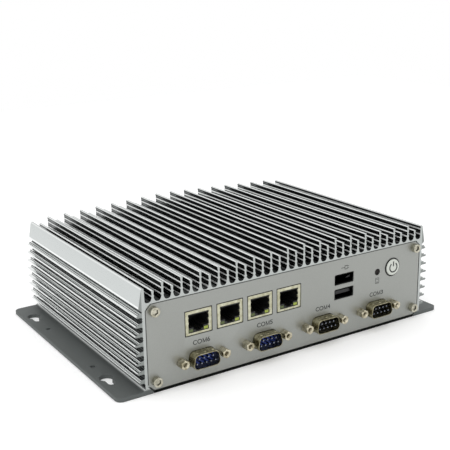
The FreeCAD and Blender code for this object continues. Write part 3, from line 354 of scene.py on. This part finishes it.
def sheared_plate():
    """Blasted plate whose sheared end edges are painted black as shade, which draws a dark line under the
    panels.
    """
    new = blasted_sheet("blasted_plate_with_shaded_edges", "#A6A8A5", "#9A9C99")
    tree = new.node_tree
    along = add(tree, "SeparateXYZ", {"Vector": add(tree, "TexCoord").outputs["Object"]}).outputs["Y"]
    reach = add(tree, "Math", {0: along}, operation="ABSOLUTE").outputs[0]
    none, full = PLATE_EDGE
    edge = add(tree, "MapRange", {"Value": reach, "From Min": none * MM, "From Max": full * MM}).outputs[0]
    # The end edges are painted black as shade.
    return stained(new, edge, "#0E0F0F")


def plated(name, light, dark, roughness):
    """Plated metal. Faint stains and fine wear break up its reflections."""
    new, tree, shader, place = material(name, 1.0, roughness)
    stain = add(tree, "TexNoise", {"Vector": place, "Scale": 1 / (2.2 * MM), "Detail": 3.0}).outputs["Fac"]
    # Real wear marks are about 0.1 mm wide. They are drawn at 0.4 mm, so that they show.
    wear = add(tree, "TexNoise", {"Vector": place, "Scale": 1 / (0.4 * MM), "Detail": 3.0}).outputs["Fac"]
    worn = add(tree, "MapRange", {"Value": stain, **NOISE_SPREAD}).outputs[0]
    tone = add(tree, "Mix", {"Factor": worn, A: linear(dark), B: linear(light)}, data_type="RGBA")
    tree.links.new(tone.outputs[MIXED], shader.inputs["Base Color"])
    spread = {"To Min": roughness - 0.06, "To Max": roughness + 0.08}
    rough = add(tree, "MapRange", {"Value": wear, **NOISE_SPREAD, **spread})
    tree.links.new(rough.outputs[0], shader.inputs["Roughness"])
    bump = add(tree, "Bump", {"Height": wear, "Distance": 0.004 * MM, "Strength": 1.0})
    tree.links.new(bump.outputs["Normal"], shader.inputs["Normal"])
    return new


def moulded(name, light, dark, roughness, **sockets):
    """Injection-moulded plastic. A fine spark-eroded texture softens its sheen."""
    new, tree, shader, place = material(name, 0.0, roughness, IOR=1.5, **sockets)
    # The real texture is about 0.1 mm wide. It is drawn at 0.3 mm, so that it shows.
    texture = add(tree, "TexNoise", {"Vector": place, "Scale": 1 / (0.3 * MM), "Detail": 3.0}).outputs["Fac"]
    tone = add(tree, "Mix", {"Factor": texture, A: linear(dark), B: linear(light)}, data_type="RGBA")
    tree.links.new(tone.outputs[MIXED], shader.inputs["Base Color"])
    spread = {"To Min": roughness - 0.05, "To Max": roughness + 0.06}
    rough = add(tree, "MapRange", {"Value": texture, **NOISE_SPREAD, **spread})
    tree.links.new(rough.outputs[0], shader.inputs["Roughness"])
    bump = add(tree, "Bump", {"Height": texture, "Distance": 0.01 * MM, "Strength": 1.0})
    tree.links.new(bump.outputs["Normal"], shader.inputs["Normal"])
    return new


def link_lenses():
    """Tinted link lenses: the left one of each socket smoked green, the right one bright lime."""
    new, tree, shader, place = material("tinted_link_lens", 0.0, 0.2, IOR=1.5)
    first, second = [sum(corner[0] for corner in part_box(f"lan_shield_{number}")) / 2 for number in (1, 2)]
    half = (second - first) / 2
    across = add(tree, "SeparateXYZ", {"Vector": place}).outputs["X"]
    shifted = add(tree, "Math", {0: across, 1: first}, operation="SUBTRACT").outputs[0]
    off = add(tree, "Math", {0: shifted, 1: half, 2: -half}, operation="WRAP").outputs[0]
    right = add(tree, "Math", {0: off, 1: 0.0}, operation="GREATER_THAN").outputs[0]
    swirl = add(tree, "TexNoise", {"Vector": place, "Scale": 1 / (0.8 * MM), "Detail": 2.0}).outputs["Fac"]
    lime = add(tree, "Mix", {"Factor": swirl, A: linear("#7E8C2C"), B: linear("#A0AE40")}, data_type="RGBA")
    tone = {"Factor": right, A: linear("#4A5626"), B: lime.outputs[MIXED]}
    tone = add(tree, "Mix", tone, data_type="RGBA")
    tree.links.new(tone.outputs[MIXED], shader.inputs["Base Color"])
    bump = add(tree, "Bump", {"Height": swirl, "Distance": 0.02 * MM, "Strength": 1.0})
    tree.links.new(bump.outputs["Normal"], shader.inputs["Normal"])
    return new


def laminate():
    """Glass-epoxy board under green solder mask, with its tracks showing through as paler lines."""
    new, tree, shader, place = material("solder_masked_board", 0.0, 0.32, IOR=1.5)
    # Four rows of tracks to 8.33 mm, which is coarser than real tracks, so that they show.
    tracks = add(tree, "TexBrick", {
        "Vector": place, "Scale": 1 / (8.33 * MM), "Mortar Size": 0.08, "Color1": linear("#0C4222"),
        "Color2": linear("#0F4C29"), "Mortar": linear("#1B6A3C"),
    })
    tree.links.new(tracks.outputs["Color"], shader.inputs["Base Color"])
    bump = add(tree, "Bump", {"Height": tracks.outputs["Fac"], "Distance": 0.03 * MM, "Strength": 1.0})
    tree.links.new(bump.outputs["Normal"], shader.inputs["Normal"])
    return new


def screen_ink():
    """Screen-printed epoxy ink. The mesh leaves it slightly uneven, so its grey isn't quite flat."""
    new, tree, shader, place = material("screen_printed_ink", 0.0, 0.5, IOR=1.5)
    # A real screen has a thread every 0.08 mm. Its pattern is drawn at 0.15 mm, so that it shows.
    speck = add(tree, "TexNoise", {"Vector": place, "Scale": 1 / (0.15 * MM), "Detail": 2.0}).outputs["Fac"]
    tone = add(tree, "Mix", {"Factor": speck, A: linear("#141616"), B: linear("#222424")}, data_type="RGBA")
    tree.links.new(tone.outputs[MIXED], shader.inputs["Base Color"])
    bump = add(tree, "Bump", {"Height": speck, "Distance": 0.004 * MM, "Strength": 1.0})
    tree.links.new(bump.outputs["Normal"], shader.inputs["Normal"])
    return new


FINISHES = {
    "extrusion": anodised_extrusion(),
    "panel": blasted_sheet("blasted_anodised_panel", "#9D9F9B", "#929490"),
    "plate": sheared_plate(),
    "screw_steel": plated("zinc_plated_steel", "#C6C3B4", "#9E9B8A", 0.28),
    "dark_screw": plated("black_oxide_steel_and_socket_shade", "#1F1F1F", "#131313", 0.38),
    "jack_steel": plated("nickel_plated_hexagon", "#CDC7B2", "#968F78", 0.3),
    "gold": plated("gold_plated_contact", "#E2B75C", "#C2963F", 0.2),
    "nickel": plated("nickel_plated_pin", "#8C909A", "#686C76", 0.22),
    "shield_nickel": plated("nickel_silver_shield", "#C6C5AF", "#A8A68C", 0.32),
    "yellow_nickel": plated("yellow_passivated_shell", "#AAA58A", "#7C765C", 0.28),
    "socket_plastic": moulded("black_thermoplastic_and_gap_shade", "#101010", "#070707", 0.5),
    "black_plastic": moulded("black_nylon", "#141416", "#0B0B0D", 0.45),
    "white_plastic": moulded("natural_nylon", "#DDD8C8", "#CDC8B6", 0.45),
    "blue_plastic": moulded("blue_polyester", "#374DA4", "#293B80", 0.42),
    "vga_plastic": moulded("azure_polyester", "#22489C", "#183575", 0.42),
    "green_plastic": moulded("lime_abs", "#8CC269", "#7AB057", 0.4),
    "pink_plastic": moulded("pink_abs", "#DE8096", "#CB6C82", 0.4),
    "button_plastic": pale_cap(),
    "light_pipe": moulded("smoked_light_pipe", "#1A1512", "#100D0B", 0.45, Specular_IOR_Level=0.2),
    "lens": link_lenses(),
    "board_green": laminate(),
    "brass": plated("turned_brass", "#D9B871", "#B8954F", 0.25),
    "pad_grey": moulded("silicone_pad", "#8A9099", "#7C828B", 0.7),
    "block_aluminium": plated("milled_aluminium", "#CACCCD", "#B4B6B8", 0.3),
}
INK = screen_ink()


def dress_nodes():
    """Each CAD piece takes the finish of its slot."""
    for part in frame["record"]["subparts"]:
        data = NODES[part["node"]].data
        data.materials.clear()
        data.materials.append(FINISHES[part["material_slot"]])


# --------------------------------------------------------------------------------- mesh building


def from_node(name):
    """A CAD piece's mesh with its seams merged and its flat areas joined, ready to be shaped."""
    mesh = bmesh.new()
    mesh.from_mesh(NODES[name].data)
    bmesh.ops.remove_doubles(mesh, verts=mesh.verts, dist=0.001 * MM)
    flat = math.radians(0.3)
    bmesh.ops.dissolve_limit(mesh, angle_limit=flat, verts=mesh.verts, edges=mesh.edges)
    return mesh


def placed(mesh, name, look, body):
    """The mesh as an object with a finish, riding on a body."""
    data = bpy.data.meshes.new(name)
    mesh.to_mesh(data)
    mesh.free()
    data.materials.append(look)
    piece = bpy.data.objects.new(name, data)
    bpy.context.collection.objects.link(piece)
    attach(piece, body)
    return piece


def finished(mesh, name, slot, smooth=30.0, replaces=()):
    """The mesh as a piece of the housing with a slot's finish, in place of the CAD pieces it replaces."""
    piece = placed(mesh, name, FINISHES[slot], "housing")
    piece.data.shade_smooth()
    piece.data.set_sharp_from_angle(angle=math.radians(smooth))
    if replaces:
        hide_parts(*replaces)


def ease(mesh, width_mm, chosen, segments=2):
    """Round the chosen edges by a small width."""
    edges = [edge for edge in mesh.edges if chosen(edge)]
    bmesh.ops.bevel(
        mesh, geom=edges, offset=width_mm * MM, offset_type="OFFSET", segments=segments, profile=0.5,
        affect="EDGES", material=-1, clamp_overlap=False,
    )


def turn_of(edge):
    """Angle between an edge's two faces."""
    return edge.calc_face_angle(0.0) if len(edge.link_faces) == 2 else 0.0


def width_of(face, edge):
    """How wide a long strip of a face is beside its long edge."""
    return face.calc_area() / edge.calc_length()


def middle(low, high, depth, level=None):
    """The middle of a box at a depth, or its middle in X at a depth and a level."""
    if level is None:
        level = (low[2] + high[2]) / 2
    return Vector(((low[0] + high[0]) / 2, depth, level))


# ------------------------------------------------------------------------------------ the housing

# The housing's corners to be rounded are at least this long in millimetres, and turn by at least this angle.
LONG_EDGE = 100.0
BEND = math.radians(12)
SQUARE = math.radians(60)
EASE = 0.12
EASE_ROOM = 2.2 * EASE
FRONT_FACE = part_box("front_panel")[0][1]
REAR_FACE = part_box("rear_panel")[1][1]


def housing():
    """The extrusion with every long corner of its fins, beads and ears softly rounded."""
    mesh = from_node("extruded_body")

    def long_corner(edge):
        if edge.calc_length() < LONG_EDGE * MM or turn_of(edge) < BEND:
            return False
        return all(width_of(face, edge) > EASE_ROOM * MM for face in edge.link_faces)

    ease(mesh, EASE, long_corner)
    finished(mesh, "fluted_housing", "extrusion", smooth=10, replaces=["extruded_body"])


def deburr(mesh, width_mm, shortest_mm=0.7):
    """Break a mesh's square corners by a fine bevel."""
    ease(mesh, width_mm, lambda edge: turn_of(edge) > SQUARE and edge.calc_length() > shortest_mm * MM)
    return mesh


def eased_copy(node, width_mm):
    """A shell's mesh with its square corners broken by a fine bevel."""
    return deburr(from_node(node), width_mm, 0.3)


def stamped_openings(mesh, node, width_mm):
    """Chamfer the rims of a sheet's openings round a socket, which catch the light as a thin line."""
    low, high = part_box(node)
    margin, flush = 1.0 * MM, 0.01 * MM

    def at_rim(point):
        around = all(low[axis] - margin < point[axis] < high[axis] + margin for axis in (0, 2))
        return around and abs(point.y - FRONT_FACE) < flush

    def rim(edge):
        return turn_of(edge) > SQUARE and all(at_rim(vert.co) for vert in edge.verts)

    ease(mesh, width_mm, rim, 1)


def sheet_metal():
    """Both end panels and the underside plate, deburred along every cut edge."""
    for node, name, slot, width_mm in (
        ("front_panel", "front_face_sheet", "panel", 0.18),
        ("rear_panel", "rear_face_sheet", "panel", 0.18),
        ("bottom_plate", "underside_sheet", "plate", 0.1),
    ):
        mesh = from_node(node)
        if node == "front_panel":
            stamped_openings(mesh, "usb_shell", 0.35)
        finished(deburr(mesh, width_mm), name, slot, smooth=10, replaces=[node])


# --------------------------------------------------------------------------------- turned pieces

ROUND = 36
TURNS = {
    "front": Matrix.Rotation(math.pi / 2, 3, "X"),
    "back": Matrix.Rotation(math.pi, 3, "Z") @ Matrix.Rotation(math.pi / 2, 3, "X"),
    "down": Matrix.Rotation(math.pi, 3, "X"),
}

# Each outline gives radii, or widths across flats for a hexagon, and levels out of the face, in millimetres.
CAP_HEAD = [(2.6, 0.0), (2.65, 0.1), (2.65, 2.5), (2.58, 2.72), (2.4, 2.88), (2.1, 2.92), (1.9, 2.8)]
CAP_SOCKET = [(2.95, 2.76), (2.7, 2.6), (2.7, 1.9)]
CAP_LINING = [(2.7, 1.95), (2.7, 2.5), (2.6, 2.4), (2.6, 2.05)]
SUNK_HEAD = [(1.2, -6.0), (1.2, -0.8), (2.15, -0.05), (2.1, 0.0)]
SUNK_SOCKET = [(1.9, -0.1), (1.8, -0.2), (1.8, -0.7)]
JACK_COLLAR = [(4.6, 0.0), (4.7, 0.1), (4.7, 4.6)]
JACK_MOUTH = [(2.3, 4.88), (2.1, 4.98), (1.65, 4.92), (1.45, 4.8)]
JACK_THREAD = [(1.42 if step % 2 else 1.25, 4.65 - 0.25 * step) for step in range(9)] + [(0.3, 2.5)]
PIN = [(0.5, 0.0), (0.5, 4.85), (0.43, 5.05), (0.25, 5.17), (0.08, 5.2)]
BUTTON_RING = [(5.6, -1.5), (5.6, -0.25), (5.05, -0.15), (5.05, -1.4)]


def ring(mesh, radius_mm, level_mm, sides=ROUND):
    """A round loop of edges about Z."""
    made = bmesh.ops.create_circle(mesh, segments=sides, radius=radius_mm * MM)
    bmesh.ops.translate(mesh, verts=made["verts"], vec=(0, 0, level_mm * MM))
    return list({edge for vert in made["verts"] for edge in vert.link_edges})


def hexagon(mesh, flats_mm, level_mm):
    """A hexagonal loop about Z, its sides divided so that it joins a round loop."""
    edges = ring(mesh, flats_mm / math.sqrt(3), level_mm, 6)
    made = bmesh.ops.subdivide_edges(mesh, edges=edges, cuts=ROUND // 6 - 1)
    places = {vert for edge in edges for vert in edge.verts}
    places.update(item for item in made["geom_inner"] if isinstance(item, bmesh.types.BMVert))
    return list({edge for vert in places for edge in vert.link_edges})


def skin(mesh, loops):
    """Faces from each loop to the next, with the first and the last loop closed."""
    for first, second in zip(loops, loops[1:]):
        bmesh.ops.bridge_loops(mesh, edges=first + second)
    for loop in (loops[0], loops[-1]):
        bmesh.ops.contextual_create(mesh, geom=loop)


def band(mesh, loops):
    """Faces from each loop to the next and from the last one back to the first."""
    for first, second in zip(loops, loops[1:] + loops[:1]):
        bmesh.ops.bridge_loops(mesh, edges=first + second)


def stand(mesh, at, facing):
    """Put a piece made about Z at a place, so that its top looks out of a side of the housing."""
    bmesh.ops.recalc_face_normals(mesh, faces=mesh.faces)
    bmesh.ops.rotate(mesh, verts=mesh.verts, cent=(0, 0, 0), matrix=TURNS[facing])
    bmesh.ops.translate(mesh, verts=mesh.verts, vec=at)


def join(target, part):
    """Move one mesh into another."""
    data = bpy.data.meshes.new("part")
    part.to_mesh(data)
    part.free()
    target.from_mesh(data)
    bpy.data.meshes.remove(data)


def solids_of(name):
    """Lowest and highest corner of each separate solid of a CAD piece."""
    mesh = bmesh.new()
    mesh.from_mesh(NODES[name].data)
    bmesh.ops.remove_doubles(mesh, verts=mesh.verts, dist=0.001 * MM)
    left, boxes = set(mesh.verts), []
    while left:
        grown, waiting = set(), [left.pop()]
        while waiting:
            vert = waiting.pop()
            grown.add(vert)
            for link in vert.link_edges:
                other = link.other_vert(vert)
                if other in left:
                    left.remove(other)
                    waiting.append(other)
        low = Vector([min(vert.co[axis] for vert in grown) for axis in range(3)])
        high = Vector([max(vert.co[axis] for vert in grown) for axis in range(3)])
        boxes.append((low, high))
    mesh.free()
    return boxes


def facing_of(low):
    """Which end of the housing a solid stands at, and the depth of that panel's face."""
    return ("front", FRONT_FACE) if low[1] < 0 else ("back", REAR_FACE)


def cap_screws(node, name):
    """Socket-head screws: a rounded rim, a dished top and a broached socket with a black lining that paints
    the shade in it.
    """
    whole, wells = bmesh.new(), bmesh.new()
    for low, high in solids_of(node):
        facing, face = facing_of(low)
        at = middle(low, high, face)
        mesh = bmesh.new()
        loops = [ring(mesh, *step) for step in CAP_HEAD] + [hexagon(mesh, *step) for step in CAP_SOCKET]
        skin(mesh, loops)
        stand(mesh, at, facing)
        join(whole, mesh)
        # The black lining paints the shade inside each socket.
        well = bmesh.new()
        band(well, [hexagon(well, *step) for step in CAP_LINING])
        stand(well, at, facing)
        join(wells, well)
    finished(whole, name, "screw_steel", replaces=[node])
    finished(wells, f"{name}_painted_shade_wells", "dark_screw")


def plate_screws():
    """Countersunk screws of the underside plate, with a hexagonal socket in each flat head."""
    whole = bmesh.new()
    for low, high in solids_of("bottom_plate_screws"):
        mesh = bmesh.new()
        loops = [ring(mesh, *step) for step in SUNK_HEAD] + [hexagon(mesh, *step) for step in SUNK_SOCKET]
        skin(mesh, loops)
        stand(mesh, middle(low, high, (low.y + high.y) / 2, low.z), "down")
        join(whole, mesh)
    finished(whole, "countersunk_screws", "dark_screw", replaces=["bottom_plate_screws"])


def jack_screws():
    """Hexagonal jack screws: a plain collar, a bevelled mouth and a threaded bore."""
    whole = bmesh.new()
    for low, high in solids_of("jack_screws"):
        facing, face = facing_of(low)
        mesh = bmesh.new()
        loops = [hexagon(mesh, *step) for step in JACK_COLLAR]
        loops += [ring(mesh, *step) for step in JACK_MOUTH + JACK_THREAD]
        skin(mesh, loops)
        stand(mesh, middle(low, high, face), facing)
        join(whole, mesh)
    finished(whole, "hexagonal_jack_screws", "jack_steel", smooth=35, replaces=["jack_screws"])


def contact_pins():
    """Round pins with domed tips, standing in the D connectors."""
    whole = bmesh.new()
    for low, high in solids_of("com_pins"):
        facing = facing_of(low)[0]
        foot = high.y if facing == "front" else low.y
        mesh = bmesh.new()
        skin(mesh, [ring(mesh, radius, level, 12) for radius, level in PIN])
        stand(mesh, middle(low, high, foot), facing)
        join(whole, mesh)
    finished(whole, "domed_contact_pins", "nickel", replaces=["com_pins"])


# -------------------------------------------------------------------------------------- sockets

# Where the dimples and springs of the shells are pressed out, with the radius and rise of each, in
# millimetres.
SERIAL_PLACES = (-4.6, 0.0, 4.6)
SERIAL_SIDE = 4.18
SERIAL_OUT = 3.1
SERIAL_DIMPLE = (0.8, 0.35)
NETWORK_PLACES = (3.4, 6.6, 9.6)
NETWORK_SIDE = 6.1
NETWORK_DEPTH = 0.9
NETWORK_SPRING = (1.0, 0.3)

# The section of the black strip that paints the shade in the gap: how far it stands off the shield, and its
# levels out of the panel's face.
GAP_SHADE_SECTION = [(0.42, -1.5), (0.42, -0.3), (0.03, -0.2), (0.03, -1.4)]


def pip(mesh, at, radius_mm, rise_mm, axis):
    """A shallow pressed dimple on a metal shell."""
    made = bmesh.ops.create_uvsphere(mesh, u_segments=16, v_segments=8, radius=radius_mm * MM)
    flat = Vector((1, 1, 1))
    flat[axis] = rise_mm / radius_mm
    bmesh.ops.scale(mesh, verts=made["verts"], vec=flat)
    bmesh.ops.translate(mesh, verts=made["verts"], vec=at)


def serial_shells():
    """Drawn D shells with softened rims and a row of spring dimples above and below."""
    for number in range(1, 7):
        node = f"com_shell_{number}"
        mesh = eased_copy(node, 0.14)
        low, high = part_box(node)
        facing, face = facing_of(low)
        out = -1 if facing == "front" else 1
        centre = middle(low, high, face + out * SERIAL_OUT * MM)
        for side in (-1, 1):
            for step in SERIAL_PLACES:
                pip(mesh, centre + Vector((step, 0, side * SERIAL_SIDE)) * MM, *SERIAL_DIMPLE, 2)
        finished(mesh, f"drawn_shell_{number}", "yellow_nickel", smooth=40, replaces=[node])


def network_shields():
    """Folded shields of the network sockets, with their side springs pressed out."""
    for number in range(1, 5):
        node = f"lan_shield_{number}"
        mesh = eased_copy(node, 0.12)
        low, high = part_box(node)
        foot = middle(low, high, low[1] + NETWORK_DEPTH * MM, low[2])
        for side in (-1, 1):
            for rise in NETWORK_PLACES:
                pip(mesh, foot + Vector((side * NETWORK_SIDE, 0, rise)) * MM, *NETWORK_SPRING, 0)
        finished(mesh, f"folded_shield_{number}", "shield_nickel", smooth=40, replaces=[node])


def oblong(mesh, width_mm, height_mm, level_mm):
    """A rectangular loop of edges about Z."""
    made = bmesh.ops.create_grid(mesh, x_segments=1, y_segments=1, size=0.5)
    bmesh.ops.scale(mesh, verts=made["verts"], vec=(width_mm * MM, height_mm * MM, 1))
    bmesh.ops.translate(mesh, verts=made["verts"], vec=(0, 0, level_mm * MM))
    edges = list({edge for vert in made["verts"] for edge in vert.link_edges})
    faces = list({face for vert in made["verts"] for face in vert.link_faces})
    bmesh.ops.delete(mesh, geom=faces, context="FACES_ONLY")
    return edges


def network_gaskets():
    """Black strips that paint the shade in the gap between each network socket and its opening."""
    for number in range(1, 5):
        low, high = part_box(f"lan_shield_{number}")
        width, height = (high[0] - low[0]) / MM, (high[2] - low[2]) / MM
        mesh = bmesh.new()
        band(mesh, [oblong(mesh, width + 2 * out, height + 2 * out, level) for out, level in GAP_SHADE_SECTION])
        stand(mesh, middle(low, high, FRONT_FACE), "front")
        finished(mesh, f"socket_gap_shade_{number}", "socket_plastic")


def usb_shells():
    """Blackened steel shells of the USB sockets, with softened mouths."""
    for node, name in (("usb_shell", "front_usb_cans"), ("rear_usb_shell", "rear_usb_cans")):
        finished(eased_copy(node, 0.08), name, "dark_screw", replaces=[node])


def button_gasket():
    """Black ring that paints the shade in the gap round the button, just inside its hole."""
    mesh = bmesh.new()
    band(mesh, [ring(mesh, radius, level, 48) for radius, level in BUTTON_RING])
    stand(mesh, middle(*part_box("power_button"), FRONT_FACE), "front")
    finished(mesh, "button_gasket", "socket_plastic")


# ------------------------------------------------------------------------------ printing and marks

# In millimetres, apart from the spread, which is in the typeface's own unit.
INK_RISE = 0.02
SIGN_RISE = 0.05
STROKE_SPREAD = 0.014
STROKE = 0.36
LETTER_HEIGHT = 2.6
M_MIDDLE, M_WIDTH = 1.9, 2.4
NAME_LEVEL = 21.6
PLUG_LEVEL = 42.5
DRIVE_LEVEL = 29.4

# Each stroke of a pictogram gives its middle, its width and its height.
PLUG = [
    (-1.2, 0, 2.6, 0.35), (0.1, 0, 0.35, 2.4), (1.1, 1.0, 1.8, 0.35),
    (1.1, -1.0, 1.8, 0.35), (2.2, 0.55, 1.4, 0.35), (2.2, -0.55, 1.4, 0.35),
]
DRIVE = [
    (0, 1.6, 2.6, 0.3), (0, -1.6, 2.6, 0.3), (-1.3, 0, 0.3, 3.2),
    (1.3, 0, 0.3, 3.2), (0, 0.7, 1.4, 0.28), (0, -0.9, 1.0, 0.5),
]


def printed(mesh, name, at, body="housing"):
    """A flat mark made in X and Y, laid on the front as a thin coat of ink."""
    stand(mesh, at, "front")
    placed(mesh, name, INK, body)


def bar(mesh, x, y, width, height, rise=INK_RISE, turn=0.0):
    """A thin rectangular stroke about a centre, in millimetres, turned about that centre."""
    made = bmesh.ops.create_cube(mesh, size=1.0)
    bmesh.ops.scale(mesh, verts=made["verts"], vec=(width * MM, height * MM, rise * MM))
    bmesh.ops.rotate(mesh, verts=made["verts"], cent=(0, 0, 0), matrix=Matrix.Rotation(turn, 3, "Z"))
    bmesh.ops.translate(mesh, verts=made["verts"], vec=(x * MM, y * MM, rise / 2 * MM))


def lettering(text, width_mm, height_mm):
    """Plain capitals as a thin mesh with slightly spread strokes, scaled to a width and a height."""
    curve = bpy.data.curves.new("letters", "FONT")
    curve.body = text
    curve.align_x = "CENTER"
    curve.align_y = "CENTER"
    curve.resolution_u = 4
    curve.extrude = 0.01
    curve.offset = STROKE_SPREAD
    holder = bpy.data.objects.new("letters", curve)
    bpy.context.collection.objects.link(holder)
    data = bpy.data.meshes.new_from_object(holder)
    bpy.data.objects.remove(holder)
    mesh = bmesh.new()
    mesh.from_mesh(data)
    bpy.data.meshes.remove(data)
    bmesh.ops.remove_doubles(mesh, verts=mesh.verts, dist=1e-5)
    spans = [(min(v.co[i] for v in mesh.verts), max(v.co[i] for v in mesh.verts)) for i in range(3)]
    sizes = (width_mm, height_mm, INK_RISE)
    factors = [size * MM / (high - low) for size, (low, high) in zip(sizes, spans)]
    centre = Vector([-(low + high) / 2 for low, high in spans])
    bmesh.ops.translate(mesh, verts=mesh.verts, vec=centre)
    bmesh.ops.scale(mesh, verts=mesh.verts, vec=factors)
    bmesh.ops.translate(mesh, verts=mesh.verts, vec=(0, 0, INK_RISE / 2 * MM))
    return mesh


def capital_m(mesh, x, width, height):
    """The letter M in four strokes, two upright and two slanted."""
    side, rise = (width - STROKE) / 2, height - STROKE
    lean = math.atan2(side, rise)
    for way in (-1, 1):
        bar(mesh, x + way * side, 0, STROKE, height)
        bar(mesh, x + way * side / 2, 0, STROKE, math.hypot(side, rise), turn=-way * lean)


def port_name(number):
    """COM and a number, centred, with the strokes of all four characters alike."""
    mesh = bmesh.new()
    for text, x, width in (("CO", -2.45, 5.5), (str(number), 4.3, 1.8)):
        letters = lettering(text, width, LETTER_HEIGHT)
        bmesh.ops.translate(letters, verts=letters.verts, vec=(x * MM, 0, 0))
        join(mesh, letters)
    capital_m(mesh, M_MIDDLE, M_WIDTH, LETTER_HEIGHT)
    return mesh


def arc(mesh, radius, thick, rise, gap_degrees):
    """A ring with a gap at its top, made by turning a rectangular section about Z."""
    made = bmesh.ops.create_grid(mesh, x_segments=1, y_segments=1, size=0.5)
    verts = made["verts"]
    bmesh.ops.scale(mesh, verts=verts, vec=(thick * MM, rise * MM, 1))
    bmesh.ops.rotate(mesh, verts=verts, cent=(0, 0, 0), matrix=Matrix.Rotation(math.pi / 2, 3, "X"))
    bmesh.ops.translate(mesh, verts=verts, vec=(radius * MM, 0, rise / 2 * MM))
    start = math.radians(90 + gap_degrees / 2)
    bmesh.ops.rotate(mesh, verts=verts, cent=(0, 0, 0), matrix=Matrix.Rotation(start, 3, "Z"))
    section = list({face for vert in verts for face in vert.link_faces})
    bmesh.ops.spin(
        mesh, geom=section, cent=(0, 0, 0), axis=(0, 0, 1), dvec=(0, 0, 0),
        angle=math.radians(360 - gap_degrees), steps=40, use_duplicate=False,
    )


def port_labels():
    """Port names over the serial sockets, a plug over the USB sockets and a drive under the lamp."""
    for number in (6, 5, 4, 3):
        at = middle(*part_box(f"com_shell_{number}"), FRONT_FACE, NAME_LEVEL * MM)
        printed(port_name(number), f"label_com_{number}", at)
    for node, strokes, name, level in (
        ("usb_shell", PLUG, "label_usb_plug", PLUG_LEVEL),
        ("status_light", DRIVE, "label_drive", DRIVE_LEVEL),
    ):
        mark = bmesh.new()
        for stroke in strokes:
            bar(mark, *stroke)
        printed(mark, name, middle(*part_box(node), FRONT_FACE, level * MM))


def power_symbol():
    """The usual line-and-circle sign pressed into the button, filled with dark ink."""
    low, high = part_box("power_button")
    sign = bmesh.new()
    arc(sign, 2.8, 0.8, SIGN_RISE, 70.0)
    bar(sign, 0, 2.2, 0.8, 3.0, SIGN_RISE)
    printed(sign, "power_sign", middle(low, high, low[1]), body="button")


# ------------------------------------------------------------------------------------- the stage

FLOOR_GLOW = 0.1
FLOOR_HALF = 0.9
FLOOR_GAP = 0.05
SKY_FILL = 0.85
WHITE = (1, 1, 1, 1)


def pale_share(tree, unseen, seen):
    """One strength for light that falls on things, another where a ray from lens, gloss or glass ends."""
    path = add(tree, "LightPath").outputs
    shown = path["Is Camera Ray"]
    for ray in ("Is Glossy Ray", "Is Transmission Ray"):
        shown = add(tree, "Math", {0: shown, 1: path[ray]}, operation="MAXIMUM").outputs[0]
    return add(tree, "MapRange", {"Value": shown, "To Min": unseen, "To Max": seen}).outputs["Result"]


def stage():
    """White floor that keeps the shadow, soft boxes and a pale world."""
    mesh = bmesh.new()
    bmesh.ops.create_grid(mesh, x_segments=1, y_segments=1, size=FLOOR_HALF)
    data = bpy.data.meshes.new("floor")
    mesh.to_mesh(data)
    mesh.free()
    floor = bpy.data.objects.new("floor", data)
    bpy.context.collection.objects.link(floor)
    floor.location.z = cad_box[0][2] - FLOOR_GAP * MM
    white, tree, shader, _ = material("white_studio_floor", 0.0, 0.9)
    shader.inputs["Base Color"].default_value = linear("#FAFAFA")
    glow = add(tree, "Emission", {"Color": WHITE, "Strength": pale_share(tree, 0.0, FLOOR_GLOW)})
    both = add(tree, "AddShader", {0: shader.outputs[0], 1: glow.outputs[0]})
    tree.links.new(both.outputs[0], tree.nodes["Material Output"].inputs["Surface"])
    data.materials.append(white)

    world = bpy.data.worlds.new("studio")
    bpy.context.scene.world = world
    world.use_nodes = True
    tree = world.node_tree
    tree.nodes.clear()
    sky = add(tree, "Background", {"Color": WHITE, "Strength": pale_share(tree, SKY_FILL, 1.0)})
    add(tree, "OutputWorld", {"Surface": sky.outputs[0]})

    soft_box("left_softbox", (-1.6, -0.3, 0.9), 2.2, 1.4, 6)
    soft_box("front_softbox", (-0.3, -1.8, 1.0), 2.0, 1.2, 3)
    soft_box("top_softbox", (0.0, 0.1, 1.7), 2.2, 2.2, 10)


bpy.context.scene.view_settings.view_transform = "Standard"
place_camera()
stage()
dress_nodes()
housing()
sheet_metal()
cap_screws("front_panel_screws", "front_socket_screws")
cap_screws("rear_panel_screws", "rear_socket_screws")
plate_screws()
jack_screws()
contact_pins()
serial_shells()
network_shields()
network_gaskets()
usb_shells()
button_gasket()
port_labels()
power_symbol()
